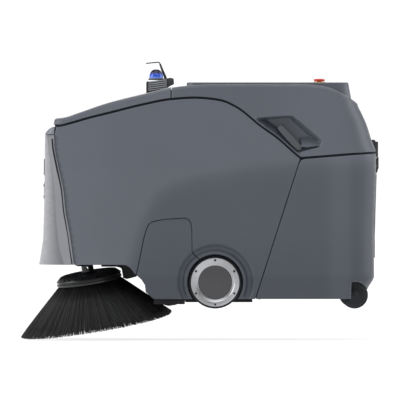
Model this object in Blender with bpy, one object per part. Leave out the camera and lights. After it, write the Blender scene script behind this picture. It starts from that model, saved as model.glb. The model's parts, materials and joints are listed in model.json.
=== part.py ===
# Driverless floor sweeper, modelled as an assembly of separate pieces.
# Metres, +Z up, -X is the front, the machine's left side is -Y.
# The origin is the middle of the footprint, at the height of the lowest bristle tip.
import bpy
import bmesh
import math
from mathutils import Vector, Matrix
from mathutils.geometry import delaunay_2d_cdt

# ---------------------------------------------------------------- driving dimensions (millimetres)
HALF_WIDTH = 365.0        # widest half width of the body
SKIN = 4.0                # wall of the moulded panels
GAP = 0.3                 # clearance between pieces that touch
FLOOR_Z = 81.4            # height of the wheel contact over the hanging bristle tips
DRIVE_X, DRIVE_Z, DRIVE_R = 39.3, 149.4, 68.0
ARCH_R, ARCH_OUT_R = 72.3, 104.0
BINW_X, BINW_Z, BINW_R = 400.4, 116.4, 35.0
BRUSH_TIP_R, BRUSH_ROOT_R, BRUSH_DROP = 199.4, 80.6, 113.0
BRUSH_PLATE_R, BRUSH_PLATE_T = 84.0, 25.0
BRUSH_TIP_X, BRUSH_TIP_Y = -269.6, 202.5
BRUSH_PITCH, BRUSH_ROLL = 0.16235, 0.0952   # lean of the spin axis, forward and outward
ROLLER_X, ROLLER_Z, ROLLER_R, ROLLER_HALF = -78.0, 139.0, 52.0, 249.0
BOTTOM_Z, NOSE_BOTTOM_Z = 106.0, 194.5
DECK_Z, DECK_HALF = 668.7, 185.0
BIN_TRAVEL, LIFT_TRAVEL, HANDLE_TRAVEL = 450.0, 88.0, 140.0
HOOD_SPLIT_X = -75.0
TUBE_TILT = 0.031

# silhouettes: (x, z) or (z, x) control points of the outline, read off the side elevation
TOP = [(-381, 572.8), (-354, 575.1), (-322, 585.5), (-238, 614), (-139, 638.8), (-76, 653.9), (-39, 658.6),
       (0, 661.7), (39, 663), (260, 663), (325, 657), (365, 640.4), (404.6, 617.2)]
SEAM = [(-380, 555.4), (-366, 554.9), (-342, 560.3), (-288, 575.5), (-238, 588), (-139, 612.3), (-76, 624),
        (-13, 627.9), (26, 625.3), (58, 620), (98, 601.4), (156, 555.1), (199, 524.4), (253.8, 476.3), (261, 471)]
REAR = [(106, 421), (136, 436.5), (166, 451.7), (261, 451), (425, 456), (486, 456), (514.5, 446), (561, 431),
        (617, 404.6)]
FRONT = [(194, -420.4), (230, -414), (268, -409), (407, -405.6), (533, -404), (539.5, -400.4), (548, -392),
         (553, -384)]
FACET_FRONT = [(194, -354), (248, -369), (434, -384), (533, -397)]
FACET_REAR = [(194, -326), (285, -339), (334, -348), (390, -354), (450, -367), (510, -377.5), (533, -378.2)]
CREASE = [(262, 466.7), (117, 450.5), (39, 437), (-26, 425), (-78, 406), (-117, 380), (-139, 345), (-158, 300),
          (-172, 255), (-184, 210), (-190, 180)]


# ---------------------------------------------------------------- small helpers
def smooth_curve(points):
    """A monotone cubic through control points (Fritsch and Carlson)."""
    xs = [p[0] for p in points]
    ys = [p[1] for p in points]
    n = len(xs)
    d = [(ys[i + 1] - ys[i]) / (xs[i + 1] - xs[i]) for i in range(n - 1)]
    m = [d[0]] + [0.0 if d[i - 1] * d[i] <= 0 else 2 * d[i - 1] * d[i] / (d[i - 1] + d[i]) for i in range(1, n - 1)] + [d[-1]]

    def f(x):
        if x <= xs[0]:
            return ys[0]
        if x >= xs[-1]:
            return ys[-1]
        i = max(j for j in range(n - 1) if xs[j] <= x)
        h = xs[i + 1] - xs[i]
        t = (x - xs[i]) / h
        return ((2 * t ** 3 - 3 * t ** 2 + 1) * ys[i] + (t ** 3 - 2 * t ** 2 + t) * h * m[i]
                + (-2 * t ** 3 + 3 * t ** 2) * ys[i + 1] + (t ** 3 - t ** 2) * h * m[i + 1])
    return f


def clamp(v, a=0.0, b=1.0):
    return max(a, min(b, v))


def smoothstep(v):
    v = clamp(v)
    return v * v * (3 - 2 * v)


top_z = smooth_curve(TOP)
seam_z = smooth_curve(SEAM)
rear_x = smooth_curve(REAR)
front_x = smooth_curve(FRONT)
facet_front_x = smooth_curve(FACET_FRONT)
facet_rear_x = smooth_curve(FACET_REAR)


def bin_seam_x(z):
    """The slanted seam between the side panel and the dust bin."""
    return 146.0 + 0.3195 * (z - 112.6)


def crease_depth(x, z):
    """How far inside the crease line (below and behind it) a point lies, 0 above it."""
    best = 1e9
    side = -1.0
    for (x0, z0), (x1, z1) in zip(CREASE, CREASE[1:]):
        dx, dz = x1 - x0, z1 - z0
        t = clamp(((x - x0) * dx + (z - z0) * dz) / (dx * dx + dz * dz))
        px, pz = x0 + t * dx, z0 + t * dz
        dist = math.hypot(x - px, z - pz)
        if dist < best:
            best = dist
            side = 1.0 if dx * (z - pz) - dz * (x - px) > 0 else -1.0
    if x > 262:
        return max(0.0, 466.7 - z)
    return best if side > 0 else 0.0


def half_width(x, z):
    """Half width of the body at a point of its side elevation."""
    w = HALF_WIDTH
    if x < -120:
        w -= 21.0 * ((-120 - x) / 257.0) ** 1.8
    if z > 440:
        w -= 0.075 * (z - 440)
    d = crease_depth(x, z)
    w -= 6.0 * (1 - math.exp(-d / 25.0)) + 0.02 * d
    if z < 166:
        w -= 9.0 * (166 - z) / 60.0
    r = math.hypot(x - DRIVE_X, z - DRIVE_Z)
    if r < ARCH_OUT_R:
        w -= 10.0 * smoothstep((ARCH_OUT_R - r) / 24.0)
    return w


materials = {}


def material(name, rgb, rough=0.5, metal=0.0):
    if name not in materials:
        m = bpy.data.materials.new(name)
        m.use_nodes = True
        b = m.node_tree.nodes["Principled BSDF"]
        b.inputs["Base Color"].default_value = (*[(c / 255.0) ** 2.2 for c in rgb], 1)
        b.inputs["Roughness"].default_value = rough
        b.inputs["Metallic"].default_value = metal
        materials[name] = m
    return materials[name]


PANEL = ("panel_grey", (100, 103, 109), 0.4)
DARK = ("dark_plastic", (40, 42, 45), 0.6)
FRONTC = ("front_light_grey", (170, 170, 174), 0.4)
STEEL = ("brushed_steel", (190, 191, 193), 0.3, 1.0)
BLACK = ("black_bristle", (14, 14, 16), 0.9)
RUBBER = ("rubber", (32, 34, 38), 0.85)
ALU = ("aluminium", (150, 152, 155), 0.4, 1.0)

anchors = {}


def face_out(bm):
    bmesh.ops.recalc_face_normals(bm, faces=bm.faces)
    if bm.calc_volume(signed=True) < 0:
        bmesh.ops.reverse_faces(bm, faces=bm.faces)


def finish(name, verts, faces, mat, anchor=None, smooth=35.0, ngon=False):
    """Make one named object from millimetre points; anchor is its origin, on its joint's axis if it moves."""
    ox, oy, oz = anchor if anchor is not None else (0, 0, 0)
    me = bpy.data.meshes.new(name)
    me.from_pydata([((x - ox) / 1000, (y - oy) / 1000, (z - oz) / 1000) for x, y, z in verts], [], faces)
    bm = bmesh.new()
    bm.from_mesh(me)
    bmesh.ops.remove_doubles(bm, verts=bm.verts, dist=1e-6)
    face_out(bm)
    bm.to_mesh(me)
    bm.free()
    me.materials.append(material(*mat))
    me.shade_smooth()
    me.set_sharp_from_angle(angle=math.radians(smooth))
    ob = bpy.data.objects.new(name, me)
    ob.location = (ox / 1000, oy / 1000, oz / 1000)
    bpy.context.scene.collection.objects.link(ob)
    return ob


def thicken(name, outer, inner, faces, mat, **kw):
    """A closed shell from an outer skin, the matching inner skin, and the rim between them."""
    n = len(outer)
    edges = set()
    for f in faces:
        for i, a in enumerate(f):
            edges.add((a, f[(i + 1) % len(f)]))
    out = [tuple(f) for f in faces] + [tuple(i + n for i in reversed(f)) for f in faces]
    for a, b in edges:
        if (b, a) not in edges:
            out.append((b, a, a + n, b + n))
    return finish(name, list(outer) + list(inner), out, mat, **kw)


def inside(p, loop):
    c = False
    j = len(loop) - 1
    for i in range(len(loop)):
        if (loop[i][1] > p[1]) != (loop[j][1] > p[1]):
            if p[0] < (loop[j][0] - loop[i][0]) * (p[1] - loop[i][1]) / (loop[j][1] - loop[i][1]) + loop[i][0]:
                c = not c
        j = i
    return c


def distance_to_loop(p, loop):
    best = 1e9
    for i in range(len(loop)):
        a, b = loop[i - 1], loop[i]
        dx, dy = b[0] - a[0], b[1] - a[1]
        q = dx * dx + dy * dy
        t = clamp(((p[0] - a[0]) * dx + (p[1] - a[1]) * dy) / q) if q else 0
        best = min(best, math.hypot(p[0] - a[0] - t * dx, p[1] - a[1] - t * dy))
    return best


def triangulate(loop, step, extra=()):
    """Triangles that fill a closed outline, with a staggered grid of inner points."""
    pts = [Vector(p) for p in loop]
    x0, x1 = min(p[0] for p in loop), max(p[0] for p in loop)
    y0, y1 = min(p[1] for p in loop), max(p[1] for p in loop)
    own = []
    for e in extra:
        if inside(e, loop) and distance_to_loop(e, loop) > 3.0:
            own.append(e)
    row = 0
    y = y0 + step * 0.5
    grid = []
    while y < y1:
        x = x0 + step * (0.5 if row % 2 else 0.0)
        while x < x1:
            p = (x, y)
            if inside(p, loop) and distance_to_loop(p, loop) > 0.42 * step:
                if all(math.hypot(e[0] - x, e[1] - y) > 0.5 * step for e in own):
                    grid.append(p)
            x += step
        y += step * 0.87
        row += 1
    pts += [Vector(p) for p in own + grid]
    n = len(loop)
    out = delaunay_2d_cdt(pts, [], [list(range(n))], 1, 1e-5)
    verts, faces = out[0], out[2]
    return [tuple(v) for v in verts], [tuple(f) for f in faces]


def resample(points, step):
    """Extra points along each long segment of an open polyline."""
    out = [points[0]]
    for a, b in zip(points, points[1:]):
        n = max(1, int(math.ceil(math.hypot(b[0] - a[0], b[1] - a[1]) / step)))
        for i in range(1, n + 1):
            out.append((a[0] + (b[0] - a[0]) * i / n, a[1] + (b[1] - a[1]) * i / n))
    return out


def box(x0, x1, y0, y1, z0, z1):
    v = [(x, y, z) for x in (x0, x1) for y in (y0, y1) for z in (z0, z1)]
    f = [(0, 1, 3, 2), (4, 6, 7, 5), (0, 4, 5, 1), (2, 3, 7, 6), (0, 2, 6, 4), (1, 5, 7, 3)]
    return v, f


def prism(profile, y0, y1):
    """A side-elevation outline (x, z) carried from y0 to y1."""
    n = len(profile)
    v = [(x, y0, z) for x, z in profile] + [(x, y1, z) for x, z in profile]
    f = [tuple(range(n)), tuple(range(2 * n - 1, n - 1, -1))]
    f += [(i, i + n, (i + 1) % n + n, (i + 1) % n) for i in range(n)]
    return v, f


def lathe(profile, segments, origin, axis, closed=True):
    """Turn (radius, height) points about an axis. A profile that starts and ends at radius 0 closes itself."""
    w = Vector(axis).normalized()
    u = w.orthogonal().normalized()
    v = w.cross(u)
    o = Vector(origin)
    verts, rings = [], []
    for r, h in profile:
        if r < 1e-6:
            rings.append([len(verts)])
            verts.append(tuple(o + w * h))
        else:
            ring = []
            for i in range(segments):
                a = 2 * math.pi * i / segments
                ring.append(len(verts))
                verts.append(tuple(o + w * h + (u * math.cos(a) + v * math.sin(a)) * r))
            rings.append(ring)
    faces = []
    pairs = list(zip(rings, rings[1:]))
    if len(rings[0]) > 1 and closed:
        pairs.append((rings[-1], rings[0]))
    for a, b in pairs:
        for i in range(segments):
            j = (i + 1) % segments
            if len(a) == 1 and len(b) == 1:
                break
            if len(a) == 1:
                faces.append((a[0], b[i], b[j]))
            elif len(b) == 1:
                faces.append((a[i], b[0], a[j]))
            else:
                faces.append((a[i], b[i], b[j], a[j]))
    return verts, faces


def rod(p0, p1, r, segments=16):
    d = Vector(p1) - Vector(p0)
    return lathe([(0, 0), (r, 0), (r, d.length), (0, d.length)], segments, p0, d)


def tube(p0, p1, r_in, r_out, segments=16):
    d = Vector(p1) - Vector(p0)
    return lathe([(r_in, 0), (r_out, 0), (r_out, d.length), (r_in, d.length)], segments, p0, d)


def mirror(solid):
    v, f = solid
    return [(x, -y, z) for x, y, z in v], [tuple(reversed(q)) for q in f]


def scratch(solid):
    v, f = solid
    me = bpy.data.meshes.new("scratch")
    me.from_pydata([(x / 1000, y / 1000, z / 1000) for x, y, z in v], [], f)
    bm = bmesh.new()
    bm.from_mesh(me)
    face_out(bm)
    bm.to_mesh(me)
    bm.free()
    ob = bpy.data.objects.new("scratch", me)
    bpy.context.scene.collection.objects.link(ob)
    return ob


def combine(ob, adds=(), cuts=()):
    """Join solids to an object, then cut solids from it, with exact Booleans applied at once."""
    for op, group in (("UNION", adds), ("DIFFERENCE", cuts)):
        for solid in group:
            tool = scratch(solid)
            tool.location = (0, 0, 0)
            bpy.context.view_layer.update()
            mod = ob.modifiers.new("cut", "BOOLEAN")
            mod.operation = op
            mod.object = tool
            mod.solver = "EXACT"
            bpy.context.view_layer.update()
            dg = bpy.context.evaluated_depsgraph_get()
            me = bpy.data.meshes.new_from_object(ob.evaluated_get(dg))
            ob.modifiers.clear()
            old = ob.data
            ob.data = me
            bpy.data.meshes.remove(old)
            bpy.data.objects.remove(tool)
    me = ob.data
    bm = bmesh.new()
    bm.from_mesh(me)
    bmesh.ops.remove_doubles(bm, verts=bm.verts, dist=1e-6)
    bmesh.ops.triangulate(bm, faces=bm.faces)
    bm.to_mesh(me)
    bm.free()
    me.shade_smooth()
    me.set_sharp_from_angle(angle=math.radians(35))
    return ob


def solid(name, shape, mat, anchor=None, adds=(), cuts=()):
    ob = finish(name, shape[0], shape[1], mat, anchor=anchor)
    if adds or cuts:
        combine(ob, adds, cuts)
    return ob


def both(name, shape, mat, anchor=None, adds=(), cuts=()):
    """The left piece as given (at -Y) and its mirror image on the right."""
    out = []
    out.append(solid(name + "_left", shape, mat, anchor, adds, cuts))
    ra = (anchor[0], -anchor[1], anchor[2]) if anchor else None
    out.append(solid(name + "_right", mirror(shape), mat, ra, [mirror(a) for a in adds], [mirror(c) for c in cuts]))
    return out


def clear_scene():
    for ob in list(bpy.data.objects):
        bpy.data.objects.remove(ob, do_unlink=True)


def arc(cx, cz, r, a0, a1, n):
    return [(cx + r * math.cos(math.radians(a0 + (a1 - a0) * i / n)),
             cz + r * math.sin(math.radians(a0 + (a1 - a0) * i / n))) for i in range(n + 1)]


# ---------------------------------------------------------------- body panels
DOOR_FRONT = [(-165.5, 168), (-146.6, 261.3), (-136.2, 294.8), (-122.6, 307), (-88.4, 313.6), (-35.4, 317),
              (-21.6, 301), (-19.8, 234.5), (-20.4, 229.5), (-14.6, 220.8)]
ARCH_SEAM_DEG = 124.0


def skin_pair(name, loop, step, mat, anchor=None, extra=()):
    """A left side skin from its side-elevation outline, and its mirror image."""
    pts, tris = triangulate(loop, step, extra)
    obs = []
    for side, tag in ((-1, "left"), (1, "right")):
        outer = [(x, side * half_width(x, z), z) for x, z in pts]
        inner = [(x, side * (half_width(x, z) - SKIN), z) for x, z in pts]
        a = (anchor[0], side * abs(anchor[1]), anchor[2]) if anchor else None
        obs.append(thicken(name + "_" + tag, outer, inner, tris, mat, anchor=a, smooth=40))
    return obs


def arch_points(radii, step_deg):
    return [p for r in radii for p in arc(DRIVE_X, DRIVE_Z, r, -60, 240, int(300 / step_deg))]


def side_panels():
    loop = [(facet_rear_x(NOSE_BOTTOM_Z) + 0.6, NOSE_BOTTOM_Z)]
    loop += [(-260, NOSE_BOTTOM_Z), (-192.9, NOSE_BOTTOM_Z), (-182.5, 188.5), (-174.5, 178.7)]
    loop += DOOR_FRONT
    loop += [(p[0], p[1]) for p in arc(DRIVE_X, DRIVE_Z, ARCH_R, ARCH_SEAM_DEG - 1.0, -36.9, 16)]
    loop += resample([(120, BOTTOM_Z), (bin_seam_x(BOTTOM_Z) - 1, BOTTOM_Z)], 60)
    loop += resample([(bin_seam_x(BOTTOM_Z) - 1, BOTTOM_Z), (bin_seam_x(462) - 1, 462)], 60)[1:]
    xs = [252, 232, 205, 180, 156, 127, 98, 78, 58, 26, -13, -45, -76, -107, -139, -190, -238, -288, -320, -342, -360,
          -378.0]
    loop += [(x, seam_z(x) - 3) for x in xs]
    loop += [(facet_rear_x(z) + 0.6, z) for z in reversed(NOSE_ROWS[1:])]
    return skin_pair("side_panel", loop, 52, PANEL, extra=arch_points((80, 92, 104), 20))


def brush_doors():
    loop = [(x + 1.2, z - 0.3) if x < -125 else ((x, z - 1.3) if x < -36 else (x - 1.2, z - 0.6)) for x, z in DOOR_FRONT]
    loop += arc(DRIVE_X, DRIVE_Z, ARCH_R, ARCH_SEAM_DEG + 0.8, 216.9, 7)
    loop += [(-55, BOTTOM_Z), (-90, BOTTOM_Z), (-121.5, BOTTOM_Z), (-142, 136)]
    return skin_pair("brush_door", loop, 40, PANEL, anchor=(-80, 361, 314), extra=arch_points((80, 92, 104), 20))


def plan_inset(path, dist, closed=False):
    """Move each plan point inward: to the left of travel, for a path that runs counterclockwise seen from above."""
    out = []
    n = len(path)
    for i, p in enumerate(path):
        a = path[max(0, i - 1)]
        b = path[min(n - 1, i + 1)]
        dx, dy = b[0] - a[0], b[1] - a[1]
        q = math.hypot(dx, dy) or 1
        out.append((p[0] - dist * dy / q, p[1] + dist * dx / q))
    return out


def grid_shell(name, outer_rows, inner_rows, mat, **kw):
    nu, nv = len(outer_rows), len(outer_rows[0])
    faces = []
    for i in range(nu - 1):
        for j in range(nv - 1):
            a = i * nv + j
            faces.append((a, a + 1, a + nv + 1, a + nv))
    outer = [p for r in outer_rows for p in r]
    inner = [p for r in inner_rows for p in r]
    return thicken(name, outer, inner, faces, mat, **kw)


NOSE_ROWS = (194.5, 212, 240, 268, 310, 360, 407, 450, 495, 532.5)


def nose_plan(z):
    """Plan outline of the light front panel at one height, right to left (+Y to -Y)."""
    xf, xa, xb = front_x(z), facet_front_x(z), facet_rear_x(z)
    pts = [(xb, -half_width(xb, z)), (xa, -312.0)]
    for y in (-290, -260, -220, -150, -60):
        pts.append((xf + (xa - xf) * (abs(y) / 312.0) ** 4, y))
    pts = pts + [(x, -y) for x, y in reversed(pts)]
    return list(reversed(pts))


def front_panel():
    outer, inner = [], []
    for z in NOSE_ROWS:
        plan = nose_plan(z)
        off = plan_inset(plan, SKIN)
        # the ends stay in the seam plane beside the side panel
        off[0] = (plan[0][0], plan[0][1] - SKIN)
        off[-1] = (plan[-1][0], plan[-1][1] + SKIN)
        outer.append([(x, y, z) for x, y in plan])
        inner.append([(x, y, z) for x, y in off])
    return grid_shell("front_panel", outer, inner, FRONTC, smooth=20)


def bezel_plan(z):
    xf, w = front_x(z), half_width(-378.6, z)
    xe = -378.6
    pts = [(xe, -w)]
    for a in (20, 45, 70, 90):
        t = math.radians(a)
        pts.append((xe - (xe - xf - 2) * math.sin(t), -(w - 26) - 26 * math.cos(t)))
    for y in (-270, -160, -50):
        pts.append((xf + 2.0 * (abs(y) / 312.0) ** 2, y))
    pts = pts + [(x, -y) for x, y in reversed(pts)]
    return list(reversed(pts))


def nose_bezel():
    outer, inner = [], []
    for z in (533.2, 540, 546.5, 552.4):
        plan = bezel_plan(z)
        off = [(x + SKIN * 1.2, y * (1 - SKIN / 340.0)) for x, y in plan]
        off[0] = (plan[0][0], plan[0][1] - SKIN)
        off[-1] = (plan[-1][0], plan[-1][1] + SKIN)
        outer.append([(x, y, z) for x, y in plan])
        inner.append([(x, y, z) for x, y in off])
    return grid_shell("nose_bezel", outer, inner, PANEL, smooth=40)


def crown(y, height):
    return height * (1 - min(1.0, abs(y) / 340.0) ** 2)


def lid(name, columns, radius, cap_height, rear_edge, step, mat, cap_z, **kw):
    """A moulded lid. columns run along the open outline; each is the outer points from the hem up to the shoulder.
    The shoulder is rounded over, and a domed cap closes the top. rear_edge lists plan points along the open side."""
    nrow = len(columns[0])
    shoulder = [c[-1] for c in columns]
    plan = [(p[0], p[1]) for p in shoulder]
    rings_out = [[c[k] for c in columns] for k in range(nrow)]
    ring_in = []
    for k in range(nrow):
        path = [(c[k][0], c[k][1]) for c in columns]
        off = plan_inset(path, SKIN)
        ring_in.append([(off[i][0], off[i][1], columns[i][k][2]) for i in range(len(columns))])
    for frac, rise in ((0.3, 0.7), (1.0, 1.0)):
        off = plan_inset(plan, radius * frac)
        offi = plan_inset(plan, max(radius * frac, SKIN) + 1.0)
        last = frac == 1.0
        o, n = [], []
        for i, s in enumerate(shoulder):
            zc = cap_z(off[i][0], off[i][1]) if last else s[2] + (cap_z(s[0], s[1]) - s[2]) * rise
            o.append((off[i][0], off[i][1], zc))
            n.append((offi[i][0], offi[i][1], zc - (SKIN if last else SKIN * 0.75)))
        # the ends of the outline stay in the plane of the open side
        for ring in (o, n):
            ring[0] = (columns[0][-1][0], ring[0][1], ring[0][2])
            ring[-1] = (columns[-1][-1][0], ring[-1][1], ring[-1][2])
        rings_out.append(o)
        ring_in.append(n)
    for ring in ring_in:
        ring[0] = (columns[0][-1][0], ring[0][1], ring[0][2])
        ring[-1] = (columns[-1][-1][0], ring[-1][1], ring[-1][2])
    nv = len(columns)
    outer = [p for r in rings_out for p in r]
    inner = [p for r in ring_in for p in r]
    faces = []
    for i in range(len(rings_out) - 1):
        for j in range(nv - 1):
            a = i * nv + j
            faces.append((a, a + 1, a + nv + 1, a + nv))
    rim = [(p[0], p[1]) for p in rings_out[-1]]
    loop = rim + list(rear_edge)
    pts, tris = triangulate(loop, step)
    base = (len(rings_out) - 1) * nv
    index = []
    for i, p in enumerate(pts):
        if i < nv:
            index.append(base + i)
        else:
            index.append(len(outer))
            outer.append((p[0], p[1], cap_z(p[0], p[1])))
            inner.append((p[0], p[1], cap_z(p[0], p[1]) - SKIN))
    area = sum(loop[i - 1][0] * loop[i][1] - loop[i][0] * loop[i - 1][1] for i in range(len(loop)))
    for t in tris:
        t = tuple(index[i] for i in t)
        faces.append(t if area < 0 else t)
    # the strips were wound for this direction of travel; the cap follows them
    edge = set()
    for f in faces[:(len(rings_out) - 1) * (nv - 1)]:
        for i in range(len(f)):
            edge.add((f[i], f[(i + 1) % len(f)]))
    cap = faces[(len(rings_out) - 1) * (nv - 1):]
    clash = any((t[i], t[(i + 1) % 3]) in edge for t in cap for i in range(3))
    if clash:
        cap = [tuple(reversed(t)) for t in cap]
    faces = faces[:(len(rings_out) - 1) * (nv - 1)] + cap
    return thicken(name, outer, inner, faces, mat, **kw)


FH_REAR = HOOD_SPLIT_X - 1.3
RH_FRONT = HOOD_SPLIT_X + 1.3


def front_cap_z(x, y):
    return top_z(x) - 0.5 + crown(y, 3.5)


def front_hood():
    side = [FH_REAR, -110, -150, -195, -238, -280, -315, -338]
    left = []
    for x in side:
        zb, zt = seam_z(x) + 3, top_z(x) - 8
        left.append([(x, -half_width(x, z) + 0.3, z) for z in (zb, zt)])
    w = half_width(-350, 565)
    for a in (15, 35, 55, 75, 90):
        t = math.radians(a)
        x = -352 - 26 * math.sin(t)
        left.append([(x, -(w - 26) - 26 * math.cos(t), z) for z in (seam_z(x) + 3, top_z(x) - 8)])
    for y in (-260, -160, -60):
        x = -378.5 - 2.4 * (1 - (y / 320.0) ** 2)
        left.append([(x, y, z) for z in (seam_z(x) + 3, top_z(x) - 8)])
    cols = left + [[(x, -y, z) for x, y, z in c] for c in reversed(left)]
    # travel: from the left rear corner forward, round the nose, back along the right
    cols = list(reversed(cols))
    rear = [(FH_REAR, y) for y in (-230, -80, 80, 230)]
    return lid("front_hood", cols, 9.0, 0, rear, 95, PANEL, front_cap_z, anchor=(-376, 0, 562), smooth=40)


def rear_cap_z(x, y):
    return top_z(x) - 0.5 + crown(y, 1.8)


def rear_column(kind, t, rows, lift=0.0):
    """Outer points from the hem to the shoulder at one station of the rear hood's outline (left half)."""
    out = []
    if kind == "side":
        xb, xt = RH_FRONT + t * (396 - RH_FRONT), RH_FRONT + t * (352 - RH_FRONT)
        zb, zt = (seam_z(xb) + 3) if xb < 261 else 474 + (xb - 261) * 15.0 / 193.0, top_z(xt) - 10
        for i in range(rows):
            f = i / (rows - 1)
            x, z = xb + (xt - xb) * f, zb + (zt - zb) * f
            out.append((x, -half_width(x, z) + 0.3, z))
        return out
    for i in range(rows):
        f = i / (rows - 1)
        zb = 484.5 + 4.5 * (t if kind == "corner" else 1)
        rc_top = 52.0
        xt = 404.6 - rc_top + rc_top * (math.sin(t * math.pi / 2) if kind == "corner" else 1)
        zt = top_z(xt) - 10
        z = zb + (zt - zb) * f
        rc = 60.0 - 8.0 * f
        xr = rear_x(z)
        w = half_width(xr - rc, z) - 0.3
        if kind == "corner":
            a = t * math.pi / 2
            out.append((xr - rc + rc * math.sin(a), -(w - rc) - rc * math.cos(a), z))
        else:
            y = -(w - rc) * (1 - t)
            out.append((xr + 0.0, y, z))
    return out


def rear_hood():
    rows = 4
    left = [rear_column("side", t, rows) for t in
            (0, 0.12, 0.24, 0.32, 0.40, 0.48, 0.56, 0.64, 0.715, 0.85, 1.0)]
    left += [rear_column("corner", t, rows) for t in (0.33, 0.67, 1.0)]
    left += [rear_column("rear", t, rows) for t in (0.5,)]
    cols = left + [[(x, -y, z) for x, y, z in c] for c in reversed(left)]
    rear = [(RH_FRONT, y) for y in (230, 80, -80, -230)]
    ob = lid("rear_hood", cols, 10.0, 0, rear, 110, PANEL, rear_cap_z, anchor=(-68, 0, 657), smooth=40)
    grip = prism(GRIP_HOLE, -380, -300)
    # notch for the pull handle, and the two side grip holes
    combine(ob, cuts=[box(430, 480, -68, 68, 470, 530), grip, mirror(grip)])
    return ob


# side grip: a scoop let into the rear hood, side-elevation outline
GRIP_HOLE = [(160, 576), (238, 582.5), (262, 571), (296, 541), (318, 521), (316, 506), (300, 498), (270, 487.5),
             (256, 490), (230, 511), (198, 542)]


def side_grips():
    # a tray behind the hole: a flange inside the hood and a floor set back from it
    n = len(GRIP_HOLE)
    cx = sum(p[0] for p in GRIP_HOLE) / n
    cz = sum(p[1] for p in GRIP_HOLE) / n

    def scaled(k):
        return [(cx + (x - cx) * k, cz + (z - cz) * k) for x, z in GRIP_HOLE]
    # y depths are measured inward from the left skin
    yo = [half_width(x, z) for x, z in GRIP_HOLE]
    rim_o = [(x, -(y - SKIN - 0.6), z) for (x, z), y in zip(scaled(1.06), yo)]
    lip_o = [(x, -(y - SKIN - 0.6), z) for (x, z), y in zip(scaled(0.985), yo)]
    flo_o = [(x, -(y - 34), z) for (x, z), y in zip(scaled(0.80), yo)]
    rim_i = [(x, -(y - SKIN - 3.1), z) for (x, z), y in zip(scaled(1.06), yo)]
    lip_i = [(x, -(y - SKIN - 3.1), z) for (x, z), y in zip(scaled(1.02), yo)]
    flo_i = [(x, -(y - 37), z) for (x, z), y in zip(scaled(0.84), yo)]
    outer = rim_o + lip_o + flo_o + [(cx, -(HALF_WIDTH - 44), cz)]
    inner = rim_i + lip_i + flo_i + [(cx, -(HALF_WIDTH - 48), cz)]
    faces = []
    for i in range(n):
        j = (i + 1) % n
        faces += [(i, j, j + n, i + n), (i + n, j + n, j + 2 * n, i + 2 * n), (i + 2 * n, j + 2 * n, 3 * n)]
    obs = []
    for side, tag in ((1, "left"), (-1, "right")):
        o = [(x, side * y, z) for x, y, z in outer]
        q = [(x, side * y, z) for x, y, z in inner]
        ob = thicken("side_grip_" + tag, o, q, faces, DARK, anchor=(cx, -side * 340, cz))
        obs.append(ob)
    return obs


def bin_side_rows():
    return (106, 136, 166, 200, 206, 300, 425, 462, 478)


def bin_column_points(z, inner=False):
    """Plan outline of the bin shell at one height: left seam, side, rear corner, rear face with its handle channel."""
    zt = z
    x0 = bin_seam_x(z) + 1
    xr, rc = rear_x(z), 60.0
    off = SKIN if inner else 0.0
    pts = []
    for t in (0, 0.5, 1.0):
        x = x0 + t * (xr - rc - x0)
        pts.append((x, -(half_width(x, zt) - off)))
    w = half_width(xr - rc, zt)
    for a in (30, 60, 90):
        r = math.radians(a)
        pts.append((xr - rc + (rc - off) * math.sin(r), -(w - rc) - (rc - off) * math.cos(r)))
    chan = 12.0 * smoothstep((z - 200) / 6.0)
    for y in (-79 + (off if chan else 0),):
        pts.append((xr - off, y))
    for y in (-71 + (off if chan else 0), -24):
        pts.append((xr - chan - off, y))
    return pts + [(x, -y) for x, y in reversed(pts)]


def bin_shell():
    outer, inner = [], []
    for z in bin_side_rows():
        zo = z
        o = bin_column_points(z)
        q = bin_column_points(z, True)

        def lift(x, z=z):
            # the top hem follows the hood's rising seam
            return z + (max(0.0, (x - 261) * 15.0 / 193.0) if z > 470 else 0.0) - (9.0 * clamp((275 - x) / 15.0) if z > 470 else 0)
        outer.append([(x, y, lift(x) - 10 + 0.0 if z > 470 else z) for x, y in o])
        inner.append([(x, y, lift(x) - 10 + 0.0 if z > 470 else z) for x, y in q])
    ob = grid_shell("bin_shell", outer, inner, PANEL, smooth=40)
    ob.location = (0, 0, 0)
    notch = prism(arc(402, 114, 33.0, 0, 337.5, 15), -380, -270)
    well = rod((BINW_X, -338, BINW_Z), (BINW_X, -302, BINW_Z), BINW_R + 2.5, 16)
    combine(ob, cuts=[notch, mirror(notch), well, mirror(well)])
    return ob


# ---------------------------------------------------------------- deck, button, beacon
def top_deck():
    prof = [(386.4, DECK_Z), (-34.6, DECK_Z)]
    xs = [-34.6, 20, 80, 170, 260, 290, 325, 345, 365, 380, 394.6]
    prof += [(x, rear_cap_z(x, 0) + 0.4) for x in xs]
    screen = box(150.0, 290.0, -95.0, 95.0, DECK_Z - 1.6, DECK_Z + 5)
    hole = rod((310.7, -130, DECK_Z - 2.0), (310.7, -130, DECK_Z + 9), 16.3, 20)
    stem = rod((310.7, -130, DECK_Z - 20), (310.7, -130, DECK_Z + 9), 6.6, 12)
    return solid("top_deck", prism(prof, -DECK_HALF, DECK_HALF), PANEL, anchor=(-68, 0, 657), cuts=[screen, hole, stem])


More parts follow.
